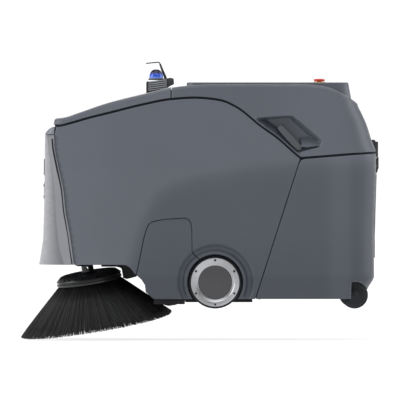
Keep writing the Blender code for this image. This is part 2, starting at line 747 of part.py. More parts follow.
def deck_items():
    x0, x1, y0, y1 = 150.4, 289.6, -94.6, 94.6
    solid("touch_screen", box(x0, x1, y0, y1, DECK_Z - 1.3, DECK_Z - 0.1), ("screen", (20, 22, 26), 0.1),
          anchor=(-68, 0, 657))
    cx, cy = 310.7, -130.0
    base = lathe([(6.6, DECK_Z - 1.7), (16.0, DECK_Z - 1.7), (16.0, DECK_Z + 0.6), (14.6, DECK_Z + 1.2),
                  (6.6, DECK_Z + 1.2)], 20, (cx, cy, 0), (0, 0, 1))
    solid("estop_base", base, DARK, anchor=(-68, 0, 657))
    btn = lathe([(0, DECK_Z - 2.6), (6.0, DECK_Z - 2.6), (6.0, DECK_Z + 5.5), (13.4, DECK_Z + 5.5),
                 (14.5, DECK_Z + 6.6), (14.2, DECK_Z + 8.6), (11.5, DECK_Z + 9.6), (0, DECK_Z + 9.9)], 20,
                (cx, cy, 0), (0, 0, 1))
    solid("estop_button", btn, ("red_plastic", (177, 72, 64), 0.35), anchor=(cx, cy, DECK_Z))


def beacon():
    base = [(-140.7, front_cap_z(-140.7, 0) + 0.4), (-140.7, 669), (-137, 673.2), (-85, 680.8), (-70.5, 681.2),
            (-67.6, 678), (-67.6, 665.2), (-75, 662.0), (-80, front_cap_z(-80, 0) + 0.6),
            (-110, front_cap_z(-110, 0) + 0.4)]
    ob = solid("beacon_base", prism(base, -27, 27), ("beacon_grey", (200, 202, 204), 0.5), anchor=(-110, 0, 660))
    combine(ob, cuts=[rod((-91.0, 16, 668), (-91.0, 16, 700), 2.2, 12)])
    # the base's top slopes, so the dome is seated by a flat ring
    dome = lathe([(0, 0.0), (18.5, 0.0), (18.5, 5.0), (17.6, 12.0), (13.8, 19.0), (8.0, 23.2), (0, 24.6)], 18,
                 (-114.5, 0, 680.0), (0, 0, 1))
    solid("beacon_dome", dome, ("beacon_blue", (60, 90, 190), 0.15), anchor=(-110, 0, 660))
    p = [Vector((-91.0, 16, 669)), Vector((-91.4, 16, 684)), Vector((-104.5, 14, 718)), Vector((-106.6, 12, 722.4)),
         Vector((-111, 10, 723.0)), Vector((-141, 0, 719.6))]
    rings, verts, faces = [], [], []
    for i, c in enumerate(p):
        d = ((p[min(i + 1, len(p) - 1)] - p[max(i - 1, 0)])).normalized()
        u = d.cross(Vector((0.2, 1, 0))).normalized()
        v = d.cross(u)
        ring = []
        for k in range(8):
            a = 2 * math.pi * k / 8
            ring.append(len(verts))
            verts.append(tuple(c + (u * math.cos(a) + v * math.sin(a)) * 1.7))
        rings.append(ring)
    for a, b in zip(rings, rings[1:]):
        for k in range(8):
            faces.append((a[k], b[k], b[(k + 1) % 8], a[(k + 1) % 8]))
    faces += [tuple(reversed(rings[0])), tuple(rings[-1])]
    finish("beacon_guard", verts, faces, DARK, anchor=(-110, 0, 660))


def front_items():
    zs = (427, 470)
    yy = (-105, -60, 0, 60, 105)

    def fx(y, z):
        return front_x(z) + (facet_front_x(z) - front_x(z)) * (abs(y) / 312.0) ** 4
    outer = [[(fx(y, z) - 2.2, y, z) for y in yy] for z in zs]
    inner = [[(fx(y, z) - 0.5, y, z) for y in yy] for z in zs]
    grid_shell("front_window", outer, inner, ("window_black", (18, 19, 22), 0.1))
    strip = box(front_x(386) - 1.6, front_x(386) - 1.0, -3, 3, 366, 406)
    knobs = [rod((front_x(386) - 1.0, 0, z), (front_x(400) - 3.0, 0, z), 3.6, 12) for z in (401, 371.5)]
    solid("front_sensors", strip, DARK, adds=knobs)


# ---------------------------------------------------------------- side brushes
def brush_frame():
    n = math.sqrt(1 - BRUSH_PITCH ** 2 - BRUSH_ROLL ** 2)
    up = Vector((-BRUSH_PITCH, -BRUSH_ROLL, n))
    tip = Vector((BRUSH_TIP_X, -BRUSH_TIP_Y, BRUSH_TIP_R * math.sqrt(1 - n * n)))
    return up, tip


def side_brushes():
    up, tip = brush_frame()
    root = tip + up * BRUSH_DROP
    anchor = tuple(root)
    slope = (BRUSH_TIP_R - BRUSH_ROOT_R) / BRUSH_DROP
    bristle = lathe([(BRUSH_ROOT_R - 12, BRUSH_DROP - 0.3), (BRUSH_ROOT_R, BRUSH_DROP - 0.3), (BRUSH_TIP_R, 0.0),
                     (BRUSH_TIP_R - 9.0, -0.0), (BRUSH_ROOT_R - 12 + slope * 30 - 6, BRUSH_DROP - 38)], 36, tuple(tip), tuple(up))
    both("side_brush_bristles", bristle, BLACK, anchor)
    plate = lathe([(0, 0.0), (BRUSH_PLATE_R, 0.0), (BRUSH_PLATE_R, 17.0),
                   (BRUSH_PLATE_R - 9, BRUSH_PLATE_T), (20, BRUSH_PLATE_T),
                   (14, BRUSH_PLATE_T + 4), (14, BRUSH_PLATE_T + 21), (0, BRUSH_PLATE_T + 21)], 28, anchor, tuple(up))
    c = root + up * (BRUSH_PLATE_T + 13)
    cross = rod((c.x, c.y - 30, c.z), (c.x, c.y + 30, c.z), 3.2, 12)
    both("side_brush_plate", plate, BLACK, anchor, cuts=[cross])
    m0 = root + up * (BRUSH_PLATE_T + 22.0)
    motor = lathe([(0, 0.0), (24, 0.0), (30, 4.0), (30, 64.0), (22, 66.3), (22, 96.0), (0, 96.0)], 16, tuple(m0), tuple(up))
    both("side_brush_motor", motor, ALU, anchor)
    # carriage: sleeve on the guide rods, arm over the plate, clamp around the motor, hanging bracket behind the hub
    block = box(-322, -258, -133, -112, 250, 300)
    arm = box(-330, -252, -262, -126, 262, 272)
    post = box(-258, -246, -176, -152, 200, 270)
    foot = prism([(-258, 206), (-258, 200), (-206, 196.0), (-200, 160), (-190, 157), (-166, 163), (-159, 176),
                  (-159, 206)], -176, -152)
    c0 = m0 - up * 40
    c1 = m0 + up * 120
    clear = rod(tuple(c0), tuple(c1), 30.6, 20)
    rods = [rod((x, -122, 200), (x, -122, 420), 5.6, 8) for x in (-310, -270)]
    both("side_brush_carriage", block, DARK, anchor, adds=[arm, post, foot], cuts=[clear] + rods)
    g0 = box(-324, -256, -128.4, -105.6, 228, 236)
    g1 = box(-324, -256, -134, -105.6, 412, 420)
    back = box(-324, -256, -109.6, -105.6, 228, 420)
    grods = [rod((x, -122, 230), (x, -122, 418), 5.0, 8) for x in (-310, -270)]
    both("lift_guide", back, ALU, None, adds=[g0, g1] + grods)


# ---------------------------------------------------------------- wheels and chassis
def wheels():
    a = (DRIVE_X, -316.0, DRIVE_Z)
    o, ax = (DRIVE_X, 0, DRIVE_Z), (0, -1, 0)
    tyre = lathe([(63.5, 292), (66.6, 292), (68, 295), (68, 335), (66.6, 338), (63.5, 338)], 30, o, ax)
    both("drive_tyre", tyre, RUBBER, a)
    hub = lathe([(43.6, 293), (63.2, 293), (63.2, 340.4), (43.6, 340.4)], 30, o, ax)
    both("drive_hub", hub, STEEL, a)
    cap = lathe([(0, 333.5), (43.2, 333.5), (43.2, 338.6), (0, 338.6)], 24, o, ax)
    both("drive_cap", cap, ("cap_grey", (82, 81, 84), 0.5), a)
    motor = lathe([(0, 280.4), (12, 280.4), (12, 286), (41.5, 286), (41.5, 332.9), (0, 332.9)], 20, o, ax)
    both("hub_motor", motor, ALU, a)
    b = (BINW_X, -320.0, BINW_Z)
    wheel = lathe([(6.4, 308), (33, 308), (35, 310.5), (35, 329.5), (33, 332), (6.4, 332)], 24, (BINW_X, 0, BINW_Z), ax)
    both("bin_wheel", wheel, RUBBER, b)
    axle = lathe([(0, -333), (5, -333), (6.0, -331), (6.0, 331), (5, 333), (0, 333)], 12, (BINW_X, 0, BINW_Z), ax)
    saddle = [box(BINW_X - 14, BINW_X + 14, s * 240 - 12, s * 240 + 12, 106, 125.6) for s in (-1, 1)]
    solid("bin_axle", axle, STEEL, adds=saddle)


def chassis():
    rail = box(-395, 150, -105, -85, 235, 265)
    adds = [mirror(rail), box(-395, -375, -95, 95, 235, 265), box(-142, -120, -272, 272, 235, 265),
            box(30, 62, -272, 272, 235, 265), box(112, 150, -272, 272, 235, 265)]
    plate = box(0, 80, -280, -270, 120, 262)
    adds += [plate, mirror(plate)]
    solid("chassis_frame", rail, ("frame_grey", (70, 72, 76), 0.5), adds=adds)
    prof = [(-38, 130), (-38, 97.5), (136, 97.5), (136, 130)]
    both("side_skirt", prism(prof, -284.2, -281), RUBBER)
    lip = prism([(-119.6, 92.6), (-39.5, 92.6), (-39.5, 122), (-111, 122), (-119.6, 110)], -333.0, -330.0)
    both("door_skirt", lip, RUBBER, (-80, -361, 314))


# ---------------------------------------------------------------- roller brush and its drive
def roller():
    o, ax = (ROLLER_X, 0, ROLLER_Z), (0, 1, 0)
    a = (ROLLER_X, 0, ROLLER_Z)
    core = lathe([(0, -262), (8, -262), (8, -250), (20, -249), (20, 249), (8, 250), (8, 258), (24, 258), (24, 260),
                  (22, 260), (22, 272), (0, 272)], 14, o, ax)
    solid("roller_core", core, ALU, a)
    h = ROLLER_HALF - 1
    bristle = lathe([(20.3, -h), (ROLLER_R - 2, -h), (ROLLER_R, -h + 3), (ROLLER_R, h - 3), (ROLLER_R - 2, h), (20.3, h)], 24, o, ax)
    solid("roller_bristles", bristle, BLACK, a)
    # housing: curved hood over the roller, roof and floor of the debris chute, two end plates
    hood_o = arc(ROLLER_X, ROLLER_Z, 62, 190, 48, 12)
    hood_i = arc(ROLLER_X, ROLLER_Z, 59, 48, 190, 12)
    roof = hood_o + [(140, 218), (140, 215)] + hood_i
    floor = [(-18, 101), (10, 104), (140, 124), (140, 127), (9, 107), (-19, 104)]
    endp = hood_o + [(140, 218), (140, 124), (10, 104), (-18, 101), (-60, 99.5), (-120, 108)]
    plate = prism(endp, -256, -252.6)
    hole = rod((ROLLER_X, -280, ROLLER_Z), (ROLLER_X, 280, ROLLER_Z), 8.6, 12)
    solid("roller_housing", prism(roof, -255, 255), DARK, adds=[prism(floor, -255, 255), plate, mirror(plate)], cuts=[hole])
    mx, mz = -20.0, 222.0
    motor = lathe([(0, 150), (26, 150), (26, 249), (6, 249.4), (6, 258), (16, 258), (16, 260),
                   (14, 260), (14, 272), (0, 272)], 14, (mx, 0, mz), ax)
    solid("roller_motor", motor, ALU, (mx, 0, mz))
    d = math.hypot(mx - ROLLER_X, mz - ROLLER_Z)
    base = math.degrees(math.atan2(mz - ROLLER_Z, mx - ROLLER_X))

    def belt_loop(grow):
        r1, r2 = 22.3 + grow, 14.3 + grow
        k = math.degrees(math.acos((r1 - r2) / d))
        return (arc(ROLLER_X, ROLLER_Z, r1, base + k, base + 360 - k, 12) + arc(mx, mz, r2, base - k, base + k, 8))
    out, inn = belt_loop(2.5), belt_loop(0)
    n = len(out)
    verts = [(x, 260.4, z) for x, z in out] + [(x, 260.4, z) for x, z in inn] + [(x, 269.6, z) for x, z in out] + [(x, 269.6, z) for x, z in inn]
    faces = []
    for i in range(n):
        j = (i + 1) % n
        faces += [(i, j, j + n, i + n), (i + 2 * n, i + 3 * n, j + 3 * n, j + 2 * n), (i, i + 2 * n, j + 2 * n, j),
                  (i + n, j + n, j + 3 * n, i + 3 * n)]
    finish("roller_belt", verts, faces, RUBBER)


# ---------------------------------------------------------------- dust bin trolley
def bin_parts():
    prof = [(bin_seam_x(126) + 9, 126), (412, 126), (426, 158), (430, 438), (bin_seam_x(438) + 9, 438)]
    inner = [(bin_seam_x(130) + 13, 130), (409.5, 130), (422, 159), (426, 445), (bin_seam_x(445) + 13, 445)]
    mouth = prism([(150, 136), (190, 136), (205, 205), (165, 205)], -240, 240)
    solid("bin_bucket", prism(prof, -284, 284), ("bucket_black", (48, 50, 54), 0.6), cuts=[prism(inner, -280, 280), mouth])

    def tx(z):
        return 449.5 + TUBE_TILT * (z - 261)
    lower = box(440.4, 456, -60, 60, 212, 261)
    upper = prism([(444.8, 423), (457, 423), (457, 478), (446, 478)], -60, 60)
    lugs = [prism([(456, 432), (460.5, 432), (463, 436), (463, 444), (460.5, 448), (456, 448)], y - 3, y + 3) for y in (-40, 40)]
    pin = rod((459.2, -43.5, 440), (459.2, 43.5, 440), 2.2, 10)
    pocket = box(452, 470, -36.4, 36.4, 430, 480)
    tubes = [tube((tx(255), y, 255), (tx(430), y, 430), 4.7, 6.5, 10) for y in (-50, 50)]
    bores = [rod((tx(415), y, 415), (tx(500), y, 500), 4.7, 10) for y in (-50, 50)]
    ob = solid("handle_guides", upper, DARK, cuts=[pocket])
    combine(ob, adds=[lower] + tubes + lugs + [pin], cuts=bores)
    grip = prism([(446.8, 480), (457, 480), (458.4, 484), (458.4, 516), (455, 520), (447.5, 520)], -58, 58)
    strips = [box(457.6, 464.8, y0, y1, 475.5, 515) for y0, y1 in ((-58, -44), (44, 58))]
    grip_rods = [rod((tx(272), y, 272), (tx(486), y, 486), 4.3, 10) for y in (-50, 50)]
    slot = box(440, 470, -32, 32, 490, 508)
    solid("pull_handle", grip, DARK, anchor=(tx(480), 0, 480), adds=strips + grip_rods, cuts=[slot])
    knuckle = tube((459.2, -35.5, 440), (459.2, 35.5, 440), 2.5, 5.2, 10)
    paddle = prism([(460.6, 441), (463.4, 440), (466.4, 446), (466.4, 473), (465.6, 475), (462.4, 475), (461, 470)], -35.5, 35.5)
    clear = rod((459.2, -60, 440), (459.2, 60, 440), 2.5, 10)
    solid("latch_lever", knuckle, ("lever_grey", (60, 62, 66), 0.5), anchor=(459.2, 0, 440), adds=[paddle], cuts=[clear])


# ---------------------------------------------------------------- machinery under the hoods
def internals():
    solid("battery_pack", box(26, 190, -150, 150, 265.5, 424), ("battery_black", (35, 38, 42), 0.6))
    solid("controller_box", box(-112, 8, -110, 110, 265.5, 322), ALU)
    fx, fz = -52.0, 340.0
    house = lathe([(30, fz - 12), (74, fz - 12), (74, fz + 42), (30, fz + 42), (30, fz + 39), (71, fz + 39),
                   (71, fz - 9), (30, fz - 9)], 18, (fx, 0, 0), (0, 0, 1))
    solid("fan_housing", house, DARK)
    wheel = lathe([(0, fz - 8), (60, fz - 8), (60, fz - 6), (20, fz - 4), (16, fz + 34), (0, fz + 36)], 16, (fx, 0, 0), (0, 0, 1))
    blades = []
    for k in range(8):
        t = math.radians(45 * k)
        c, s = math.cos(t), math.sin(t)
        v = []
        for rr, zz in ((15, fz - 5), (58, fz - 7), (58, fz + 22), (15, fz + 30)):
            for o in (-1.2, 1.2):
                v.append((fx + rr * c - o * s, rr * s + o * c, zz))
        blades.append((v, [(0, 2, 4, 6), (7, 5, 3, 1), (0, 1, 3, 2), (2, 3, 5, 4), (4, 5, 7, 6), (6, 7, 1, 0)]))
    solid("fan_impeller", wheel, ALU, anchor=(fx, 0, fz), adds=blades)
    n = 14
    prof = []
    for i in range(n + 1):
        prof.append((34 + 150 * i / n, 500 if i % 2 else 486))
    prof += [(184, 432), (34, 432)]
    solid("filter_cartridge", prism(prof, -150, 150), ("filter_white", (215, 214, 205), 0.9))


# ---------------------------------------------------------------- everything, in order
def build():
    clear_scene()
    side_panels()
    brush_doors()
    front_panel()
    nose_bezel()
    front_hood()
    rear_hood()
    side_grips()
    bin_shell()
    top_deck()
    deck_items()
    beacon()
    front_items()
    side_brushes()
    wheels()
    chassis()
    roller()
    bin_parts()
    internals()


build()
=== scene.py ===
# Looks of the driverless floor sweeper: fine panels, bristles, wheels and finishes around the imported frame.
# Lengths inside the functions are millimetres in the frame's own axes; meshes are written in metres.
import bpy
import bmesh
import json
import math
import random
import numpy as np
from mathutils import Vector, Matrix
from mathutils.geometry import delaunay_2d_cdt

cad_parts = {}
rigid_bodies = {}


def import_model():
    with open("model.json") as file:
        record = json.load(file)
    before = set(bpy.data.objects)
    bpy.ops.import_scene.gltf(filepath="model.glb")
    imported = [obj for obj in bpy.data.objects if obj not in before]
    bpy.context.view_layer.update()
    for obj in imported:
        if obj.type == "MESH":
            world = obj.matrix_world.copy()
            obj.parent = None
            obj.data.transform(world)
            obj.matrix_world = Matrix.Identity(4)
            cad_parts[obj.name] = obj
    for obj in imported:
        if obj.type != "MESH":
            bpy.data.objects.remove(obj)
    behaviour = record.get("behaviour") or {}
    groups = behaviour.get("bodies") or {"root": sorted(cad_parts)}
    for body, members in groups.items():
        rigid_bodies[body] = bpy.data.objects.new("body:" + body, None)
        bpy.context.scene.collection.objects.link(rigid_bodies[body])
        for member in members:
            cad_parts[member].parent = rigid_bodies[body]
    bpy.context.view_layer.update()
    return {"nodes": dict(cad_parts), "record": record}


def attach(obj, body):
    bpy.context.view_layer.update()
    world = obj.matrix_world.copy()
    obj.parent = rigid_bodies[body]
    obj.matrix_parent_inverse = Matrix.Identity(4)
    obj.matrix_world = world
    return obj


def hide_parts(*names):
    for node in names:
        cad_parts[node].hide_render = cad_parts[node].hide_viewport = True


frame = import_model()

NODES = frame["nodes"]
BODY = {n: b for b, ns in frame["record"]["behaviour"]["bodies"].items() for n in ns}
SLOT = {s["node"]: s["material_slot"] for s in frame["record"]["subparts"]}

HALF_WIDTH, SKIN = 365.0, 4.0
DRIVE_X, DRIVE_Z = 39.3, 149.4
ARCH_R, ARCH_OUT_R = 72.3, 104.0
BINW_X, BINW_Z = 400.4, 116.4
BRUSH_TIP_R, BRUSH_ROOT_R, BRUSH_DROP = 199.4, 80.6, 113.0
BRUSH_TIP_X, BRUSH_TIP_Y = -269.6, 202.5
BRUSH_PITCH, BRUSH_ROLL = 0.16235, 0.0952
ROLLER_X, ROLLER_Z, ROLLER_R = -78.0, 139.0, 52.0
BOTTOM_Z, NOSE_BOTTOM_Z = 106.0, 194.5
DECK_Z, DECK_HALF = 668.7, 185.0
HOOD_SPLIT_X = -75.0
TUBE_TILT = 0.031

TOP = [(-381, 572.8), (-354, 575.1), (-322, 585.5), (-238, 614), (-139, 638.8), (-76, 653.9), (-39, 658.6),
       (0, 661.7), (39, 663), (260, 663), (325, 657), (365, 640.4), (404.6, 617.2)]
SEAM = [(-380, 555.4), (-366, 554.9), (-342, 560.3), (-288, 575.5), (-238, 588), (-139, 612.3), (-76, 624),
        (-13, 627.9), (26, 625.3), (58, 620), (98, 601.4), (156, 555.1), (199, 524.4), (253.8, 476.3), (261, 471)]
REAR = [(106, 421), (136, 436.5), (166, 451.7), (261, 451), (425, 456), (486, 456), (514.5, 446), (561, 431),
        (617, 404.6)]
FRONT = [(194, -420.4), (230, -414), (268, -409), (407, -405.6), (533, -404), (539.5, -400.4), (548, -392),
         (553, -384)]
FACET_FRONT = [(194, -354), (248, -369), (434, -384), (533, -397)]
FACET_REAR = [(194, -326), (285, -339), (334, -348), (390, -354), (450, -367), (510, -377.5), (533, -378.2)]
CREASE = [(262, 466.7), (117, 450.5), (39, 437), (-26, 425), (-78, 406), (-117, 380), (-139, 345), (-158, 300),
          (-172, 255), (-184, 210), (-190, 180)]
GRIP_HOLE = [(160, 576), (238, 582.5), (262, 571), (296, 541), (318, 521), (316, 506), (300, 498), (270, 487.5),
             (256, 490), (230, 511), (198, 542)]


# ---------------------------------------------------------------- curves and the body's surface
def smooth_curve(points):
    """A monotone cubic through control points (Fritsch and Carlson), for one number or an array."""
    xs = np.array([p[0] for p in points], float)
    ys = np.array([p[1] for p in points], float)
    h = np.diff(xs)
    d = np.diff(ys) / h
    m = np.zeros(len(xs))
    m[0], m[-1] = d[0], d[-1]
    for i in range(1, len(xs) - 1):
        m[i] = 0.0 if d[i - 1] * d[i] <= 0 else 2 * d[i - 1] * d[i] / (d[i - 1] + d[i])

    def f(x):
        a = np.clip(np.asarray(x, float), xs[0], xs[-1])
        i = np.clip(np.searchsorted(xs, a, side="right") - 1, 0, len(h) - 1)
        t = (a - xs[i]) / h[i]
        r = ((2 * t ** 3 - 3 * t ** 2 + 1) * ys[i] + (t ** 3 - 2 * t ** 2 + t) * h[i] * m[i]
             + (-2 * t ** 3 + 3 * t ** 2) * ys[i + 1] + (t ** 3 - t ** 2) * h[i] * m[i + 1])
        return float(r) if np.ndim(x) == 0 else r
    return f


def sstep(v):
    v = np.clip(v, 0.0, 1.0)
    return v * v * (3 - 2 * v)


top_z = smooth_curve(TOP)
seam_z = smooth_curve(SEAM)
rear_x = smooth_curve(REAR)
front_x = smooth_curve(FRONT)
facet_front_x = smooth_curve(FACET_FRONT)
facet_rear_x = smooth_curve(FACET_REAR)


def bin_seam_x(z):
    return 146.0 + 0.3195 * (z - 112.6)


def polyline_signed(x, z, line):
    """Distance to an open polyline; positive on the left of its direction of travel."""
    x, z = np.asarray(x, float), np.asarray(z, float)
    best = np.full(np.broadcast(x, z).shape, 1e9)
    sign = np.ones_like(best)
    for (x0, z0), (x1, z1) in zip(line, line[1:]):
        dx, dz = x1 - x0, z1 - z0
        t = np.clip(((x - x0) * dx + (z - z0) * dz) / (dx * dx + dz * dz), 0, 1)
        dist = np.hypot(x - x0 - t * dx, z - z0 - t * dz)
        near = dist < best
        best = np.where(near, dist, best)
        sign = np.where(near, np.where(dx * (z - z0) - dz * (x - x0) > 0, 1.0, -1.0), sign)
    return best * sign


CREASE_LONG = [(700, 470.0)] + CREASE + [(-196, 120)]


def crease_in(x, z):
    """How far inside the soft crease (below and behind it) a point lies, rounded over at the line itself."""
    d = polyline_signed(x, z, CREASE_LONG)
    k = 5.0
    return np.where(d > 30, d, k * np.log1p(np.exp(np.clip(d, -60, 60) / k)))


def half_width(x, z):
    x, z = np.asarray(x, float), np.asarray(z, float)
    w = np.full(np.broadcast(x, z).shape, HALF_WIDTH)
    w = w - np.where(x < -120, 21.0 * (np.clip(-120 - x, 0, None) / 257.0) ** 1.8, 0)
    w = w - np.where(z > 440, 0.075 * (z - 440), 0)
    d = crease_in(x, z)
    w = w - 6.0 * (1 - np.exp(-d / 25.0)) - 0.02 * d
    t = np.clip(166 - z, 0, None)
    w = w - 9.0 * (t / 60.0)
    r = np.hypot(x - DRIVE_X, z - DRIVE_Z)
    dip = 13.0 * sstep((ARCH_OUT_R - r) / 15.0) - 6.5 * sstep((86.0 - r) / 8.0) + 2.0 * sstep((75.5 - r) / 3.0)
    return w - np.where(r < ARCH_OUT_R, dip, 0)


def front_cap_z(x, y):
    return top_z(x) - 0.5 + 3.5 * (1 - np.minimum(1.0, np.abs(y) / 340.0) ** 2)


def rear_cap_z(x, y):
    return top_z(x) - 0.5 + 1.8 * (1 - np.minimum(1.0, np.abs(y) / 340.0) ** 2)


# ---------------------------------------------------------------- the scoop for a hand in the rear hood's side
GRIP_TOP = [(110, 573.4), (140, 576.0), (232, 582.5), (245, 579.5), (256, 571)]
GRIP_RIGHT = [(226, 604), (240, 589), (250, 577.5), (282, 549), (310, 525.5), (317.5, 515), (313, 498), (302, 478)]
GRIP_BOTTOM = [(225, 474), (256, 482), (270, 488.5), (316, 501), (350, 512)]


def grip_dig(x, z):
    """How deep the side of the rear hood is scooped out."""
    x, z = np.asarray(x, float), np.asarray(z, float)
    d_top = -polyline_signed(x, z, GRIP_TOP)
    d_right = -polyline_signed(x, z, GRIP_RIGHT)
    d_bot = polyline_signed(x, z, GRIP_BOTTOM)
    d_seam = (z - seam_z(x) - 3) * 0.76
    floor = 30.0 * sstep(d_top / 7.0) * sstep((d_right + 1) / 17.0)
    # a ledge facing up fills the lower right, and a narrow groove runs under it
    ledge = np.clip(2.0 + (z - 500.0) * 1.05, 2.0, 60.0)
    near = sstep((x - 254.0) / 8.0)
    deep = np.minimum(floor, ledge * near + 60.0 * (1 - near))
    groove = 19.0 * sstep(d_bot / 2.6) * sstep((502.0 - z + 0.05 * (x - 290)) / 3.0) * sstep((d_right + 1) / 9.0)
    deep = np.where(z < 503, np.maximum(groove, deep * sstep(d_bot / 6.0)), deep)
    return np.where((x > 118) & (x < 335) & (z > 476), deep * sstep(d_seam / 20.0) * sstep(d_bot / 3.0), 0.0)


def painted_shade_tone(x, y, z, front):
    """How much darker the finish is painted: painted shade in the recessed flank below the crease, in the grip scoop,
    low down, along the facet seam and toward the front panel's edges; less of it toward the front end, low on the front
    panel and near the rear corner is painted light.
    """
    x, y, z = (np.asarray(v, float) for v in (x, y, z))
    if front:
        t = np.minimum(np.abs(y), 312.0) / 312.0
        # painted shade toward the front panel's sides, and painted light lower down
        a = 0.10 + 0.56 * t ** 4 - 0.10 * sstep((270 - z) / 60.0) * (1 - t ** 4)
        # painted shade bands at the front panel's corner edges and along the facet seam
        a = np.where((np.abs(y) > 309) & (np.abs(y) < 313.5), 0.62, a)
        a = np.where(np.abs(y) >= 313.5, 0.38, a)
        return np.clip(np.where(x > facet_rear_x(z) - 1.2, 0.6, a), 0, 1)
    flank = sstep((np.abs(y) - 180.0) / 60.0)
    d = crease_in(x, z)
    # painted light toward the front end, and a painted shade strip along the facet seam
    a = 0.09 - 0.09 * sstep((-170 - x) / 150.0) + 0.62 * (x < facet_rear_x(z) + 2.9)
    hood = np.where(x < 262, z > seam_z(x) + 1.5, z > 472)
    # painted shade on the rear hood's side, fading toward the rear
    upper = 0.17 - 0.10 * sstep((x - 120) / 200.0)
    upper = np.where(x < HOOD_SPLIT_X, 0.0, upper)
    # painted shade in the grip scoop next to the seam
    upper = upper + 0.30 * sstep((24 - (z - seam_z(x)) * 0.76) / 8.0) * sstep((x - 160) / 14.0) * sstep((262 - x) / 6.0)
    # painted shade below the crease, eased near the rear corner as painted light
    inner = (0.36 + 0.10 * sstep((330 - z) / 200.0)) * (1 - np.exp(-d / 14.0)) - 0.13 * sstep((x - 318) / 36.0) * sstep((402 - x) / 26.0)
    # painted shade low down
    inner = inner + 0.08 * sstep((169 - z) / 8.0)
    a = np.where(hood, upper, a + inner)
    return np.clip(a * flank, 0, 1)


# ---------------------------------------------------------------- meshes
def make(name, verts, faces, mats, node=None, body=None, slot=None, angle=40.0, weld=True, index=None):
    """One piece from millimetre points. It stands for CAD node `node` where one is named."""
    me = bpy.data.meshes.new(name)
    me.from_pydata((np.asarray(verts, float) / 1000.0).tolist(), [], [tuple(int(i) for i in f) for f in faces])
    if index is not None:
        me.polygons.foreach_set("material_index", index)
    bm = bmesh.new()
    bm.from_mesh(me)
    if weld:
        bmesh.ops.remove_doubles(bm, verts=bm.verts, dist=2e-6)
    bmesh.ops.dissolve_degenerate(bm, edges=bm.edges, dist=1e-7)
    bmesh.ops.recalc_face_normals(bm, faces=bm.faces)
    if bm.calc_volume(signed=True) < 0:
        bmesh.ops.reverse_faces(bm, faces=bm.faces)
    bm.to_mesh(me)
    bm.free()
    # painted shade: panel skins carry a per-vertex darkening amount that paints light and shade into their colour
    if mats in (PANEL, FRONTM):
        co = np.zeros(len(me.vertices) * 3, np.float32)
        me.vertices.foreach_get("co", co)
        co = co.reshape(-1, 3) * 1000.0
        at = me.attributes.new("painted_shade", "FLOAT", "POINT")
        at.data.foreach_set("value", painted_shade_tone(co[:, 0], co[:, 1], co[:, 2], mats == FRONTM).astype(np.float32))
    for m in (mats if isinstance(mats, (list, tuple)) else [mats]):
        me.materials.append(m)
    ob = bpy.data.objects.new(name, me)
    bpy.context.scene.collection.objects.link(ob)
    smooth(ob, angle)
    place(ob, node, body, slot)
    return ob


def smooth(ob, angle=40.0):
    ob.data.shade_smooth()
    ob.data.set_sharp_from_angle(angle=math.radians(angle))


def place(ob, node=None, body=None, slot=None):
    nodes = [node] if isinstance(node, str) else list(node or [])
    if nodes:
        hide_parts(*nodes)
        body = body or BODY[nodes[0]]
        slot = slot or SLOT[nodes[0]]
    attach(ob, body)
    return ob


def apply_modifiers(ob):
    bpy.context.view_layer.update()
    dg = bpy.context.evaluated_depsgraph_get()
    me = bpy.data.meshes.new_from_object(ob.evaluated_get(dg))
    ob.modifiers.clear()
    old = ob.data
    ob.data = me
    bpy.data.meshes.remove(old)
    return ob


def cutter(shapes):
    verts, faces = merge(shapes)
    me = bpy.data.meshes.new("cutter")
    me.from_pydata((np.asarray(verts, float) / 1000.0).tolist(), [], faces)
    bm = bmesh.new()
    bm.from_mesh(me)
    bmesh.ops.recalc_face_normals(bm, faces=bm.faces)
    bm.to_mesh(me)
    bm.free()
    ob = bpy.data.objects.new("cutter", me)
    bpy.context.scene.collection.objects.link(ob)
    return ob


def cut(ob, shapes, angle=40.0):
    """Cut closed shapes out of a piece."""
    parent = ob.parent
    ob.parent = None
    tool = cutter(shapes)
    mod = ob.modifiers.new("cut", "BOOLEAN")
    mod.operation, mod.object, mod.solver, mod.use_self = "DIFFERENCE", tool, "EXACT", True
    apply_modifiers(ob)
    bpy.data.objects.remove(tool)
    ob.parent = parent
    smooth(ob, angle)
    return ob


def bevel(ob, width=0.8, segments=2, angle=30.0, sharp=40.0):
    mod = ob.modifiers.new("edges", "BEVEL")
    mod.width, mod.segments, mod.limit_method = width / 1000.0, segments, "ANGLE"
    mod.angle_limit = math.radians(angle)
    mod.use_clamp_overlap = True
    mod.harden_normals = False
    apply_modifiers(ob)
    smooth(ob, sharp)
    return ob


def merge(shapes):
    verts, faces = [], []
    for v, f in shapes:
        n = len(verts)
        verts.extend([tuple(p) for p in v])
        faces.extend([tuple(i + n for i in q) for q in f])
    return verts, faces


def thick(outer, inner, faces):
    n = len(outer)
    edges = {}
    for f in faces:
        for i, a in enumerate(f):
            edges[(a, f[(i + 1) % len(f)])] = True
    out = [tuple(f) for f in faces] + [tuple(i + n for i in reversed(f)) for f in faces]
    out += [(b, a, a + n, b + n) for a, b in edges if (b, a) not in edges]
    return np.vstack([outer, inner]), out


def resample(points, step, closed=False):
    pts = list(points) + ([points[0]] if closed else [])
    out = [pts[0]]
    for a, b in zip(pts, pts[1:]):
        n = max(1, int(math.ceil(math.dist(a, b) / step)))
        for i in range(1, n + 1):
            out.append(tuple(a[k] + (b[k] - a[k]) * i / n for k in range(len(a))))
    return out[:-1] if closed else out


def inside_many(px, pz, loop):
    c = np.zeros(px.shape, bool)
    n = len(loop)
    for i in range(n):
        x0, z0 = loop[i - 1]
        x1, z1 = loop[i]
        if z0 == z1:
            continue
        hit = ((z1 > pz) != (z0 > pz)) & (px < (x0 - x1) * (pz - z1) / (z0 - z1) + x1)
        c ^= hit
    return c


